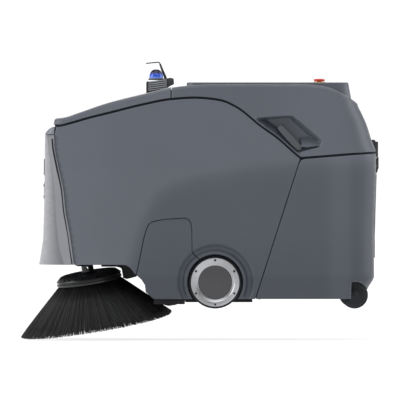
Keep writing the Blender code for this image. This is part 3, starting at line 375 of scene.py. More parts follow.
def loop_distance(px, pz, loop):
    best = np.full(px.shape, 1e9)
    for i in range(len(loop)):
        x0, z0 = loop[i - 1]
        dx, dz = loop[i][0] - x0, loop[i][1] - z0
        q = dx * dx + dz * dz
        if q < 1e-12:
            continue
        t = np.clip(((px - x0) * dx + (pz - z0) * dz) / q, 0, 1)
        best = np.minimum(best, np.hypot(px - x0 - t * dx, pz - z0 - t * dz))
    return best


def fill(loop, step, extra=None):
    """Triangles filling a closed outline, with a staggered grid inside. Returns points (outline first) and faces."""
    lp = np.array(loop, float)
    x0, z0 = lp.min(0)
    x1, z1 = lp.max(0)
    rows = []
    z, r = z0 + step * 0.5, 0
    while z < z1:
        xs = np.arange(x0 + step * (0.5 if r % 2 else 0.0), x1, step)
        rows.append(np.stack([xs, np.full(len(xs), z)], 1))
        z += step * 0.866
        r += 1
    grid = np.vstack(rows) if rows else np.zeros((0, 2))
    keep = inside_many(grid[:, 0], grid[:, 1], loop) & (loop_distance(grid[:, 0], grid[:, 1], loop) > 0.5 * step)
    grid = grid[keep]
    own = np.zeros((0, 2))
    if extra is not None and len(extra):
        e = np.array(extra, float)
        ok = inside_many(e[:, 0], e[:, 1], loop) & (loop_distance(e[:, 0], e[:, 1], loop) > 1.4)
        own = e[ok]
        if len(own) and len(grid):
            near = np.zeros(len(grid), bool)
            for k in range(0, len(own), 400):
                dd = np.hypot(grid[:, None, 0] - own[None, k:k + 400, 0], grid[:, None, 1] - own[None, k:k + 400, 1])
                near |= (dd < 0.55 * step).any(1)
            grid = grid[~near]
    pts = [Vector((float(a), float(b))) for a, b in np.vstack([lp, own, grid])]
    out = delaunay_2d_cdt(pts, [], [list(range(len(loop)))], 1, 1e-6)
    return np.array([(v[0], v[1]) for v in out[0]]), [tuple(f) for f in out[2]]


def offset_loop(loop, dist):
    """Move a closed outline inward by dist."""
    lp = np.array(loop, float)
    area = 0.5 * np.sum(lp[:, 0] * np.roll(lp[:, 1], -1) - np.roll(lp[:, 0], -1) * lp[:, 1])
    s = 1.0 if area > 0 else -1.0
    e0 = lp - np.roll(lp, 1, 0)
    e1 = np.roll(lp, -1, 0) - lp
    e0 /= np.linalg.norm(e0, axis=1)[:, None]
    e1 /= np.linalg.norm(e1, axis=1)[:, None]
    n0 = np.stack([-e0[:, 1], e0[:, 0]], 1) * s
    n1 = np.stack([-e1[:, 1], e1[:, 0]], 1) * s
    m = n0 + n1
    m /= np.maximum(np.linalg.norm(m, axis=1)[:, None], 1e-9)
    k = np.maximum((m * n0).sum(1), 0.55)
    return lp + m * (dist / k)[:, None]


def skin(name, loop, step, side, mats, surf, roll=1.6, wall=SKIN, extra=None, **kw):
    """A moulded side skin from its side-elevation outline, with rounded edges. surf(x, z) is the half width."""
    loop = resample(loop, 5.0, closed=True)
    n = len(loop)
    rings, depth = [], []
    for a in (0, 30, 60, 90):
        t = math.radians(a)
        rings.append(offset_loop(loop, roll * (1 - math.cos(t))) if a else np.array(loop, float))
        depth.append(roll * (1 - math.sin(t)))
    last = [tuple(p) for p in rings[-1]]
    pts, tris = fill(last, step, extra)
    base = 3 * n
    P = np.vstack(rings[:3] + [pts])
    D = np.concatenate([np.full(n, depth[0]), np.full(n, depth[1]), np.full(n, depth[2]), np.zeros(len(pts))])
    faces = [tuple(i + base for i in t) for t in tris]
    lp = np.array(loop)
    area = 0.5 * np.sum(lp[:, 0] * np.roll(lp[:, 1], -1) - np.roll(lp[:, 0], -1) * lp[:, 1])
    for k in range(3):
        for i in range(n):
            j = (i + 1) % n
            q = (k * n + i, k * n + j, (k + 1) * n + j, (k + 1) * n + i)
            faces.append(q if area > 0 else tuple(reversed(q)))
    w = surf(P[:, 0], P[:, 1])
    outer = np.stack([P[:, 0], side * (w - D), P[:, 1]], 1)
    inner = np.stack([P[:, 0], side * (w - wall), P[:, 1]], 1)
    v, f = thick(outer, inner, faces)
    return make(name, v, f, mats, **kw)


def grid_faces(nu, nv, wrap=False):
    out = []
    for i in range(nu - 1):
        for j in range(nv if wrap else nv - 1):
            a, b = i * nv + j, i * nv + (j + 1) % nv
            out.append((a, b, b + nv, a + nv))
    return out


def box(x0, x1, y0, y1, z0, z1):
    v = [(x, y, z) for x in (x0, x1) for y in (y0, y1) for z in (z0, z1)]
    return v, [(0, 1, 3, 2), (4, 6, 7, 5), (0, 4, 5, 1), (2, 3, 7, 6), (0, 2, 6, 4), (1, 5, 7, 3)]


def prism(profile, y0, y1):
    n = len(profile)
    v = [(x, y0, z) for x, z in profile] + [(x, y1, z) for x, z in profile]
    f = [tuple(range(n)), tuple(range(2 * n - 1, n - 1, -1))]
    return v, f + [(i, i + n, (i + 1) % n + n, (i + 1) % n) for i in range(n)]


def lathe(profile, segments, origin, axis):
    w = Vector(axis).normalized()
    u = w.orthogonal().normalized()
    v = w.cross(u)
    o = Vector(origin)
    verts, rings = [], []
    for r, h in profile:
        if r < 1e-6:
            rings.append([len(verts)])
            verts.append(tuple(o + w * h))
        else:
            rings.append(list(range(len(verts), len(verts) + segments)))
            for i in range(segments):
                a = 2 * math.pi * i / segments
                verts.append(tuple(o + w * h + (u * math.cos(a) + v * math.sin(a)) * r))
    faces = []
    pairs = list(zip(rings, rings[1:]))
    if len(rings[0]) > 1:
        pairs.append((rings[-1], rings[0]))
    for a, b in pairs:
        for i in range(segments):
            j = (i + 1) % segments
            if len(a) == 1 and len(b) == 1:
                break
            if len(a) == 1:
                faces.append((a[0], b[i], b[j]))
            elif len(b) == 1:
                faces.append((a[i], b[0], a[j]))
            else:
                faces.append((a[i], b[i], b[j], a[j]))
    return verts, faces


def rod(p0, p1, r, segments=20, chamfer=0.0):
    d = Vector(p1) - Vector(p0)
    c = chamfer
    prof = [(0, 0), (r - c, 0), (r, c), (r, d.length - c), (r - c, d.length), (0, d.length)] if c else \
        [(0, 0), (r, 0), (r, d.length), (0, d.length)]
    return lathe(prof, segments, p0, d)


def rounded(profile, radius, n=5):
    """Round every corner of a closed or lathe profile given as (a, b) points; end points of a lathe stay."""
    out = []
    k = len(profile)
    for i, p in enumerate(profile):
        if i in (0, k - 1):
            out.append(p)
            continue
        a, b = Vector(profile[i - 1]), Vector(profile[(i + 1) % k])
        c = Vector(p)
        la, lb = (a - c).length, (b - c).length
        r = min(radius, la * 0.45, lb * 0.45)
        if r < 0.05:
            out.append(p)
            continue
        s, e = c + (a - c).normalized() * r, c + (b - c).normalized() * r
        for j in range(n + 1):
            t = j / n
            q = s * (1 - t) ** 2 + c * 2 * t * (1 - t) + e * t * t
            out.append((q[0], q[1]))
    return out


def round_loop(profile, radius, n=4):
    k = len(profile)
    out = []
    for i, p in enumerate(profile):
        a, b, c = Vector(profile[i - 1]), Vector(profile[(i + 1) % k]), Vector(p)
        r = min(radius, (a - c).length * 0.45, (b - c).length * 0.45)
        s, e = c + (a - c).normalized() * r, c + (b - c).normalized() * r
        for j in range(n + 1):
            t = j / n
            q = s * (1 - t) ** 2 + c * 2 * t * (1 - t) + e * t * t
            out.append((q[0], q[1]))
    return out


def arc(cx, cz, r, a0, a1, n):
    return [(cx + r * math.cos(math.radians(a0 + (a1 - a0) * i / n)),
             cz + r * math.sin(math.radians(a0 + (a1 - a0) * i / n))) for i in range(n + 1)]


def mirrored(shape):
    v, f = shape
    return [(x, -y, z) for x, y, z in v], [tuple(reversed(q)) for q in f]


def tube_along(points, r, segments=12, flat=1.0):
    """A round (or flattened) bar along points, with closed ends."""
    p = [Vector(q) for q in points]
    rings, verts = [], []
    up = Vector((0, 1, 0))
    for i, c in enumerate(p):
        d = (p[min(i + 1, len(p) - 1)] - p[max(i - 1, 0)]).normalized()
        v = (up - d * up.dot(d)).normalized()
        u = d.cross(v)
        ring = []
        for k in range(segments):
            a = 2 * math.pi * k / segments
            ring.append(len(verts))
            verts.append(tuple(c + u * (math.cos(a) * r) + v * (math.sin(a) * r * flat)))
        rings.append(ring)
    faces = []
    for a, b in zip(rings, rings[1:]):
        for k in range(segments):
            faces.append((a[k], b[k], b[(k + 1) % segments], a[(k + 1) % segments]))
    return verts, faces + [tuple(reversed(rings[0])), tuple(rings[-1])]


def spline(points, n):
    """Points on a Catmull-Rom curve through the given ones."""
    p = [Vector(q) for q in points]
    p = [p[0] * 2 - p[1]] + p + [p[-1] * 2 - p[-2]]
    out = []
    for i in range(1, len(p) - 2):
        for j in range(n):
            t = j / n
            out.append(0.5 * (2 * p[i] + (p[i + 1] - p[i - 1]) * t + (2 * p[i - 1] - 5 * p[i] + 4 * p[i + 1] - p[i + 2]) * t * t
                              + (3 * p[i] - p[i - 1] - 3 * p[i + 1] + p[i + 2]) * t ** 3))
    return [tuple(q) for q in out + [p[-2]]]


# ---------------------------------------------------------------- materials
class Graph:
    """Short calls for building one node material."""

    def __init__(self, name):
        self.m = bpy.data.materials.new(name)
        self.m.use_nodes = True
        self.t = self.m.node_tree
        self.bsdf = self.t.nodes["Principled BSDF"]
        self.co = self.t.nodes.new("ShaderNodeTexCoord").outputs["Object"]

    def node(self, kind, **kw):
        n = self.t.nodes.new(kind)
        for k, v in kw.items():
            setattr(n, k, v)
        return n

    def link(self, a, b):
        self.t.links.new(a, b)

    def value(self, sock, v):
        if isinstance(v, (int, float)):
            sock.default_value = v
        elif isinstance(v, (tuple, list)):
            sock.default_value = v
        else:
            self.link(v, sock)

    def stretch(self, scale, vector=None):
        n = self.node("ShaderNodeMapping")
        self.link(vector or self.co, n.inputs["Vector"])
        n.inputs["Scale"].default_value = scale
        return n.outputs["Vector"]

    def noise(self, scale, detail=3.0, rough=0.55, vector=None, distortion=0.0):
        n = self.node("ShaderNodeTexNoise")
        self.link(vector or self.co, n.inputs["Vector"])
        n.inputs["Scale"].default_value = scale
        n.inputs["Detail"].default_value = detail
        n.inputs["Roughness"].default_value = rough
        n.inputs["Distortion"].default_value = distortion
        return n.outputs["Fac"]

    def voronoi(self, scale, feature="F1", vector=None):
        n = self.node("ShaderNodeTexVoronoi", feature=feature)
        self.link(vector or self.co, n.inputs["Vector"])
        n.inputs["Scale"].default_value = scale
        return n.outputs["Distance"]

    def span(self, v, a, b, lo, hi):
        n = self.node("ShaderNodeMapRange")
        n.clamp = True
        self.value(n.inputs["Value"], v)
        for k, q in zip(("From Min", "From Max", "To Min", "To Max"), (a, b, lo, hi)):
            n.inputs[k].default_value = q
        return n.outputs["Result"]

    def math(self, op, a, b=0.0):
        n = self.node("ShaderNodeMath", operation=op)
        self.value(n.inputs[0], a)
        self.value(n.inputs[1], b)
        return n.outputs[0]

    def mix(self, fac, a, b, blend="MIX"):
        n = self.node("ShaderNodeMix", data_type="RGBA", blend_type=blend)
        self.value(n.inputs[0], fac)
        self.value(n.inputs[6], a)
        self.value(n.inputs[7], b)
        return n.outputs[2]

    def axis(self, k):
        n = self.node("ShaderNodeSeparateXYZ")
        self.link(self.co, n.inputs[0])
        return n.outputs[k]

    def edge_wear(self, a=0.53, b=0.62):
        n = self.node("ShaderNodeNewGeometry")
        return self.span(n.outputs["Pointiness"], a, b, 0.0, 1.0)

    def bump(self, height, strength, distance=0.0004, normal=None):
        n = self.node("ShaderNodeBump")
        n.inputs["Strength"].default_value = strength
        n.inputs["Distance"].default_value = distance
        self.link(height, n.inputs["Height"])
        if normal is not None:
            self.link(normal, n.inputs["Normal"])
        return n.outputs["Normal"]

    def finish(self, color, rough, metal=0.0, normal=None, **consts):
        self.value(self.bsdf.inputs["Base Color"], color)
        self.value(self.bsdf.inputs["Roughness"], rough)
        self.value(self.bsdf.inputs["Metallic"], metal)
        if normal is not None:
            self.link(normal, self.bsdf.inputs["Normal"])
        for k, v in consts.items():
            self.bsdf.inputs[k.replace("_", " ")].default_value = v
        return self.m


def lin(rgb):
    return tuple(((c / 255.0 + 0.055) / 1.055) ** 2.4 if c > 10 else c / 255.0 / 12.92 for c in rgb)


def rgba(rgb, k=1.0):
    return (*[min(1.0, c * k) for c in lin(rgb)], 1.0)


def moulded(name, rgb, rough=0.42, grain=0.10, mottle=0.05, dust=0.0, wear=0.25, spec=0.5, grain_scale=900.0, coat=0.0, painted_shade=False, tint=(0.003, 0.010, 0.020, 1.0)):
    """Painted or moulded plastic: faint mottling, fine grain, uneven gloss, scuffs low down and paler worn edges."""
    g = Graph(name)
    big = g.noise(7.0, 4.0)
    fine = g.noise(60.0, 3.0)
    c = g.mix(g.span(big, 0.3, 0.7, 0.0, 1.0), rgba(rgb, 1 - mottle), rgba(rgb, 1 + mottle))
    c = g.mix(g.span(fine, 0.35, 0.75, 0.0, 0.35), c, rgba(rgb, 1 + 1.4 * mottle))
    if dust:
        low = g.span(g.axis(2), 0.09, 0.24, 1.0, 0.0)
        speck = g.span(g.noise(38.0, 6.0, 0.7), 0.48, 0.72, 0.0, 1.0)
        c = g.mix(g.math("MULTIPLY", g.math("MULTIPLY", low, speck), dust), c, rgba((150, 146, 138)))
    if wear:
        worn = g.math("MULTIPLY", g.edge_wear(), g.span(g.noise(24.0, 5.0, 0.65), 0.42, 0.66, 0.0, 1.0))
        c = g.mix(g.math("MULTIPLY", worn, wear), c, rgba(tuple(min(255, v + 55) for v in rgb)))
    # painted shade: the per-vertex amount darkens the colour toward a dark blue-grey tint
    if painted_shade:
        at = g.node("ShaderNodeAttribute", attribute_name="painted_shade")
        c = g.mix(at.outputs["Fac"], c, tint)
    scuff = g.span(g.noise(18.0, 5.0, 0.6, vector=g.stretch((1.0, 1.0, 5.0))), 0.3, 0.75, -0.05, 0.07)
    r = g.math("ADD", scuff, rough)
    h = g.noise(grain_scale, 2.0, 0.5)
    n = g.bump(h, grain, 0.0003)
    return g.finish(c, r, 0.0, n, Specular_IOR_Level=spec, Coat_Weight=coat, Coat_Roughness=0.12)


def steel(name, rgb, rough=0.28, turned=None, streak=(1.0, 60.0, 60.0), metal=1.0, bumpy=0.10):
    """Brushed metal. turned = (x, z) of the axis for concentric machining marks, else straight brushing."""
    g = Graph(name)
    if turned is not None:
        n = g.node("ShaderNodeSeparateXYZ")
        g.link(g.co, n.inputs[0])
        dx = g.math("SUBTRACT", n.outputs[0], turned[0] / 1000.0)
        dz = g.math("SUBTRACT", n.outputs[2], turned[1] / 1000.0)
        rad = g.math("SQRT", g.math("ADD", g.math("MULTIPLY", dx, dx), g.math("MULTIPLY", dz, dz)))
        ang = g.math("ARCTAN2", dz, dx)
        v = g.node("ShaderNodeCombineXYZ")
        g.link(rad, v.inputs[0])
        g.link(g.math("MULTIPLY", ang, 0.004), v.inputs[1])
        line = g.noise(1700.0, 3.0, 0.6, vector=v.outputs[0])
        # painted reflection: slow bright and dark sweeps around the ring, as turned faces show under light
        sweep = g.math("COSINE", g.math("MULTIPLY", g.math("SUBTRACT", ang, 2.3), 2.0))
        tone = g.span(sweep, -1.0, 1.0, 0.80, 1.08)
    else:
        line = g.noise(700.0, 3.0, 0.6, vector=g.stretch(streak))
        tone = g.span(g.noise(9.0), 0.3, 0.7, 0.92, 1.05)
    c = g.mix(g.span(line, 0.3, 0.7, 0.0, 1.0), rgba(rgb, 0.82), rgba(rgb, 1.08))
    c = g.mix(1.0, c, g.mix(g.span(tone, 0.7, 1.1, 0.0, 1.0), (0.7, 0.7, 0.7, 1), (1.1, 1.1, 1.1, 1)), "MULTIPLY")
    smear = g.span(g.noise(30.0, 4.0), 0.35, 0.7, -0.05, 0.09)
    r = g.math("ADD", g.math("ADD", smear, g.span(line, 0.2, 0.8, -0.04, 0.05)), rough)
    return g.finish(c, r, metal, g.bump(line, bumpy, 0.0002), Specular_IOR_Level=0.5)


def rubber(name, rgb, rough=0.8, grain=0.35):
    g = Graph(name)
    c = g.mix(g.span(g.noise(25.0, 5.0), 0.35, 0.7, 0.0, 1.0), rgba(rgb, 0.8), rgba(rgb, 1.25))
    dusty = g.span(g.noise(90.0, 5.0, 0.7), 0.55, 0.8, 0.0, 0.16)
    c = g.mix(dusty, c, rgba((112, 108, 102)))
    r = g.math("ADD", g.span(g.noise(55.0), 0.3, 0.7, -0.07, 0.07), rough)
    return g.finish(c, r, 0.0, g.bump(g.voronoi(1100.0), grain, 0.0003), Specular_IOR_Level=0.3)


def bristle_material(name, lo, hi):
    """Stiff nylon filament: near black with random paler strands and a lengthwise sheen."""
    g = Graph(name)
    rnd = g.node("ShaderNodeAttribute", attribute_name="strand")
    c = g.mix(rnd.outputs["Fac"], rgba(lo), rgba(hi))
    streak = g.noise(420.0, 2.0, 0.5, vector=g.stretch((1.0, 1.0, 0.08)))
    c = g.mix(g.span(streak, 0.45, 0.75, 0.0, 0.5), c, rgba(hi, 1.25))
    r = g.math("ADD", g.span(streak, 0.2, 0.8, -0.08, 0.08), 0.52)
    return g.finish(c, r, 0.0, g.bump(streak, 0.15, 0.0002), Specular_IOR_Level=0.45)


PANEL = moulded("panel_grey", (87, 91, 100), 0.40, grain=0.06, mottle=0.03, dust=0.08, wear=0.30, painted_shade=True)
PANEL_EDGE = PANEL
FRONTM = moulded("front_light_grey", (146, 147, 152), 0.38, grain=0.05, mottle=0.02, dust=0.05, wear=0.15, painted_shade=True)
# painted light: the bezel is panel paint, given a paler grey for the light falling from the front
BEZEL = moulded("bezel_grey_painted_light", (118, 121, 128), 0.36, grain=0.05, mottle=0.02, dust=0.03, wear=0.2)
DARKP = moulded("dark_plastic", (44, 46, 49), 0.55, grain=0.22, mottle=0.08, wear=0.35, grain_scale=1300.0)
GRIPM = moulded("grip_plastic", (66, 71, 75), 0.50, grain=0.20, mottle=0.06, wear=0.3, grain_scale=1300.0)
# painted shade: a near-black finish for the strips that stand in for the shade inside seams and gaps
SEAM_SHADE = moulded("seam_shade_black", (30, 33, 40), 0.85, grain=0.1, mottle=0.1, wear=0.0, spec=0.2)
FRAME = moulded("frame_powder_coat", (66, 68, 72), 0.48, grain=0.45, mottle=0.06, wear=0.5, grain_scale=1500.0)
ALU = steel("aluminium_machined", (158, 160, 164), 0.36, streak=(1.0, 1.0, 40.0))
ALU2 = steel("aluminium_housing", (120, 123, 128), 0.42, streak=(40.0, 1.0, 1.0))
STEEL = steel("axle_steel", (170, 171, 174), 0.25, streak=(60.0, 1.0, 60.0))
HUBM = steel("hub_turned_steel", (180, 181, 184), 0.32, turned=(DRIVE_X, DRIVE_Z), bumpy=0.12)
CAPM = moulded("hub_cap_grey", (62, 61, 64), 0.50, grain=0.30, mottle=0.04, wear=0.3, grain_scale=1600.0)
TYRE = rubber("tyre_rubber", (34, 36, 40))
RUBBER = rubber("skirt_rubber", (26, 27, 30), 0.85)
BELT = rubber("belt_rubber", (22, 23, 25), 0.7, 0.6)
BRISTLE = bristle_material("bristle_black", (6, 6, 7), (31, 32, 35))
PLATE = moulded("brush_plate_black", (27, 28, 30), 0.30, grain=0.15, mottle=0.12, wear=0.5, grain_scale=1100.0)
BATTERY = moulded("battery_case", (38, 41, 46), 0.5, grain=0.3, mottle=0.06, wear=0.4)
BUCKET = moulded("bucket_black", (50, 52, 56), 0.6, grain=0.35, mottle=0.08, dust=0.35, wear=0.3)
LEVER = moulded("lever_grey", (58, 60, 64), 0.45, grain=0.2, mottle=0.06, wear=0.5)
RED = moulded("stop_button_red", (214, 62, 52), 0.34, grain=0.08, mottle=0.05, wear=0.35, coat=0.25)
YELLOW = moulded("stop_ring_yellow", (206, 168, 44), 0.42, grain=0.1, mottle=0.05, wear=0.3)
BEACON = moulded("beacon_pale_grey", (150, 153, 156), 0.45, grain=0.12, mottle=0.05, wear=0.3)
BEACON_D = moulded("beacon_block_grey", (58, 60, 64), 0.45, grain=0.12, mottle=0.05, wear=0.3)


def glass_panel(name, rgb, border=None):
    g = Graph(name)
    smear = g.span(g.noise(26.0, 5.0, 0.65, distortion=0.6), 0.42, 0.8, 0.0, 1.0)
    c = g.mix(smear, rgba(rgb), rgba(tuple(v + 9 for v in rgb)))
    r = g.math("ADD", g.math("MULTIPLY", smear, 0.14), 0.05)
    return g.finish(c, r, 0.0, g.bump(g.noise(9.0, 2.0), 0.01, 0.0005), Specular_IOR_Level=0.6, Coat_Weight=0.6, Coat_Roughness=0.03)


SCREEN = glass_panel("screen_glass", (12, 14, 18))
WINDOW = glass_panel("window_glass", (10, 11, 13))


def dome_material():
    """A tinted signal lens: whitish at the foot, blue in the middle, navy at the cap, with pale painted glints low on
    it; the navy cap is a painted dark reflection.
    """
    g = Graph("beacon_lens_blue")
    z = g.axis(2)
    # the height ramp is the blue tint, with a painted dark reflection at the cap
    n = g.node("ShaderNodeValToRGB")
    g.link(g.span(z, 0.6805, 0.7045, 0.0, 1.0), n.inputs[0])
    el = n.color_ramp.elements
    el[0].position, el[0].color = 0.0, rgba((150, 170, 220))
    el[1].position, el[1].color = 1.0, rgba((12, 18, 62))
    for p, c in ((0.10, (60, 110, 220)), (0.30, (26, 78, 214)), (0.48, (14, 54, 176)), (0.60, (8, 16, 66)), (0.74, (5, 8, 30))):
        e = el.new(p)
        e.color = rgba(c)
    # painted glints: pale blue spots low on the lens
    painted_glint = g.math("MULTIPLY", g.span(g.voronoi(95.0), 0.15, 0.62, 1.0, 0.0), g.span(z, 0.690, 0.696, 1.0, 0.0))
    c = g.mix(g.math("MULTIPLY", painted_glint, 0.30), n.outputs[0], rgba((150, 190, 255)))
    return g.finish(c, g.span(g.noise(40.0), 0.3, 0.7, 0.06, 0.14), 0.0, g.bump(g.noise(300.0), 0.03, 0.0003),
                    Specular_IOR_Level=0.45, Coat_Weight=0.25, Coat_Roughness=0.04, Subsurface_Weight=0.0)


DOME = dome_material()


def filter_material():
    g = Graph("filter_paper")
    fib = g.noise(500.0, 5.0, 0.7)
    c = g.mix(g.span(fib, 0.35, 0.7, 0.0, 1.0), rgba((204, 202, 190)), rgba((226, 224, 214)))
    c = g.mix(g.span(g.noise(16.0, 5.0), 0.5, 0.75, 0.0, 0.4), c, rgba((150, 146, 134)))
    return g.finish(c, g.span(fib, 0.2, 0.8, 0.85, 0.97), 0.0, g.bump(fib, 0.5, 0.0004), Specular_IOR_Level=0.2)


FILTER = filter_material()

CARRIED = {
    "chassis_frame": FRAME, "side_skirt": RUBBER, "door_skirt": RUBBER, "roller_housing": DARKP, "roller_motor": ALU2,
    "roller_belt": BELT, "lift_guide": ALU, "battery_pack": BATTERY, "controller_box": ALU2, "fan_housing": DARKP,
    "fan_impeller": ALU, "filter_cartridge": FILTER, "hub_motor": ALU2, "bin_bucket": BUCKET, "bin_axle": STEEL,
    "roller_core": ALU, "side_brush_motor": ALU2, "side_brush_carriage": DARKP, "handle_guides": DARKP,
    "pull_handle": DARKP, "latch_lever": LEVER, "estop_base": YELLOW, "front_sensors": DARKP, "front_window": WINDOW,
    "touch_screen": SCREEN, "beacon_guard": BEACON_D, "beacon_base": BEACON, "beacon_dome": DOME, "estop_button": RED,
    "top_deck": PANEL, "rear_hood": PANEL, "front_hood": PANEL, "side_panel": PANEL, "brush_door": PANEL,
    "bin_shell": PANEL, "nose_bezel": PANEL, "front_panel": FRONTM, "side_grip": GRIPM, "drive_tyre": TYRE,
    "drive_hub": HUBM, "drive_cap": CAPM, "bin_wheel": TYRE, "side_brush_plate": PLATE, "side_brush_bristles": BRISTLE,
    "roller_bristles": BRISTLE,
}
for name, ob in NODES.items():
    key = name[:-5] if name.endswith("_left") else name[:-6] if name.endswith("_right") else name
    ob.data.materials.clear()
    ob.data.materials.append(CARRIED[key])
SIDES = ((-1, "left"), (1, "right"))


def eased(node, width=0.8, segments=2, angle=30.0, mat=None, new_name=None):
    """A copy of a CAD node with its edges rounded, which stands for that node."""
    src = NODES[node]
    me = src.data.copy()
    me.name = (new_name or node + "_fine")
    bm = bmesh.new()
    bm.from_mesh(me)
    bmesh.ops.remove_doubles(bm, verts=bm.verts, dist=2e-6)
    bmesh.ops.dissolve_limit(bm, angle_limit=math.radians(1.5), verts=bm.verts, edges=bm.edges)
    bm.to_mesh(me)
    bm.free()
    me.materials.clear()
    me.materials.append(mat or src.data.materials[0])
    ob = bpy.data.objects.new(new_name or node + "_fine", me)
    bpy.context.scene.collection.objects.link(ob)
    bevel(ob, width, segments, angle)
    place(ob, node)
    return ob


# ---------------------------------------------------------------- body panels
DOOR_FRONT = [(-165.5, 168), (-155.5, 216), (-146.6, 261.3), (-141.5, 280), (-136.2, 294.8), (-130.5, 302.5), (-122.6, 307),
              (-106, 310.6), (-88.4, 313.6), (-46, 316.4), (-35.4, 316), (-27.5, 311), (-22.8, 303), (-20.4, 290), (-19.8, 260),
              (-19.8, 236), (-18.8, 228.5), (-15.8, 223), (-11.6, 219.0)]
ARCH_SEAM_DEG = 124.0
SEAM_XS = list(range(252, -378, -8))


def arch_extra():
    return [p for r in range(76, 112, 3) for p in arc(DRIVE_X, DRIVE_Z, r, -60, 240, int(300 / 2.5))]


def panel_loop():
    loop = [(facet_rear_x(NOSE_BOTTOM_Z) + 0.6, NOSE_BOTTOM_Z)]
    loop += [(-199, NOSE_BOTTOM_Z), (-192.9, 193.7), (-187.5, 191.4), (-182.5, 188.2), (-178, 183.4), (-174.5, 178.7)]
    loop += [(p[0] - 0.3, p[1]) for p in DOOR_FRONT]
    loop += arc(DRIVE_X, DRIVE_Z, ARCH_R, ARCH_SEAM_DEG - 1.0, -36.9, 64)
    loop += [(120, BOTTOM_Z), (bin_seam_x(BOTTOM_Z) - 1, BOTTOM_Z), (bin_seam_x(469.6) - 1, 469.6)]
    loop += [(x, seam_z(x) - 3) for x in SEAM_XS]
    loop += [(facet_rear_x(z) + 0.35, z) for z in range(530, 200, -10)]
    return loop


for side, tag in SIDES:
    skin("side_panel_skin_" + tag, panel_loop(), 7.5, side, PANEL, half_width, roll=1.7, extra=arch_extra(),
         node="side_panel_" + tag, angle=50)


def door_loop():
    loop = []
    for (x, z) in DOOR_FRONT:
        if x < -125:
            loop.append((x + 1.3, z - 0.3))
        elif x < -30:
            loop.append((x + 0.3, z - 1.5))
        else:
            loop.append((x - 1.4, z - 0.9))
    loop += arc(DRIVE_X, DRIVE_Z, ARCH_R, ARCH_SEAM_DEG + 0.8, 216.9, 36)
    loop += [(-55, BOTTOM_Z), (-90, BOTTOM_Z), (-119, BOTTOM_Z), (-122.5, 107.5), (-140.5, 124), (-143, 143), (-152, 156.5)]
    return loop


for side, tag in SIDES:
    skin("brush_door_skin_" + tag, door_loop(), 7.0, side, PANEL, lambda x, z: half_width(x, z) - 0.3, roll=1.5,
         extra=arch_extra(), node="brush_door_" + tag, angle=50)


# ---------------------------------------------------------------- front panel and bezel
def nose_plan(z, inset=0.0):
    xf, xa, xb = front_x(z), facet_front_x(z), facet_rear_x(z)
    w = float(half_width(xb, z))
    pts = []
    for t in np.linspace(0, 1, 8):
        pts.append((xb + (xa - xb) * t, -(w + (312.0 - w) * t)))
    for y in np.concatenate([np.linspace(-308, -200, 22), np.linspace(-190, -10, 16)]):
        pts.append((xf + (xa - xf) * (abs(y) / 312.0) ** 4, y))
    pts = pts + [(x, -y) for x, y in reversed(pts)]
    return list(reversed(pts))


def plan_inset(path, dist):
    out = []
    n = len(path)
    for i, p in enumerate(path):
        a, b = path[max(0, i - 1)], path[min(n - 1, i + 1)]
        dx, dy = b[0] - a[0], b[1] - a[1]
        q = math.hypot(dx, dy) or 1
        out.append((p[0] - dist * dy / q, p[1] + dist * dx / q))
    return out


def front_panel():
    zs = [194.5, 194.7, 195.2, 196.2] + list(np.linspace(200, 528, 48)) + [531.0, 532.0, 532.4, 532.5]
    sink = [1.6, 0.8, 0.25, 0.0] + [0.0] * 48 + [0.0, 0.3, 0.9, 1.6]
    outer, inner = [], []
    for z, s in zip(zs, sink):
        plan = nose_plan(z)
        o = plan_inset(plan, s) if s else plan
        q = plan_inset(plan, SKIN)
        o[0], o[-1] = (plan[0][0], plan[0][1] - s), (plan[-1][0], plan[-1][1] + s)
        q[0], q[-1] = (plan[0][0], plan[0][1] - SKIN), (plan[-1][0], plan[-1][1] + SKIN)
        outer += [(x, y, z) for x, y in o]
        inner += [(x, y, z) for x, y in q]
    nv = len(outer) // len(zs)
    v, f = thick(np.array(outer), np.array(inner), grid_faces(len(zs), nv))
    make("front_panel_skin", v, f, FRONTM, node="front_panel", angle=30)


front_panel()


def bezel_plan(z, s=0.0):
    xf, w = front_x(z), float(half_width(-378.6, z))
    xe = -378.6
    pts = [(xe, -w + s)]
    for a in range(10, 91, 8):
        t = math.radians(a)
        pts.append((xe - (xe - xf - 2 - s) * math.sin(t), -(w - 26) - (26 - s) * math.cos(t)))
    for y in np.linspace(-300, -15, 20):
        pts.append((xf + s + 2.0 * (abs(y) / 312.0) ** 2, y))
    pts = pts + [(x, -y) for x, y in reversed(pts)]
    return list(reversed(pts))


def nose_bezel():
    zs = [533.1, 533.4, 534.2] + list(np.linspace(535.5, 549.5, 9)) + [551.0, 552.0, 552.4]
    sink = [1.3, 0.5, 0.0] + [0.0] * 9 + [0.25, 0.8, 1.6]
    outer, inner = [], []
    for z, s in zip(zs, sink):
        o = bezel_plan(z, s)
        q = [(x + SKIN * 1.2, y * (1 - SKIN / 340.0)) for x, y in bezel_plan(z)]
        q[0] = (o[0][0], q[0][1])
        q[-1] = (o[-1][0], q[-1][1])
        outer += [(x, y, z) for x, y in o]
        inner += [(x, y, z) for x, y in q]
    nv = len(outer) // len(zs)
    v, f = thick(np.array(outer), np.array(inner), grid_faces(len(zs), nv))
    make("nose_bezel_skin", v, f, BEZEL, node="nose_bezel", angle=40)


nose_bezel()


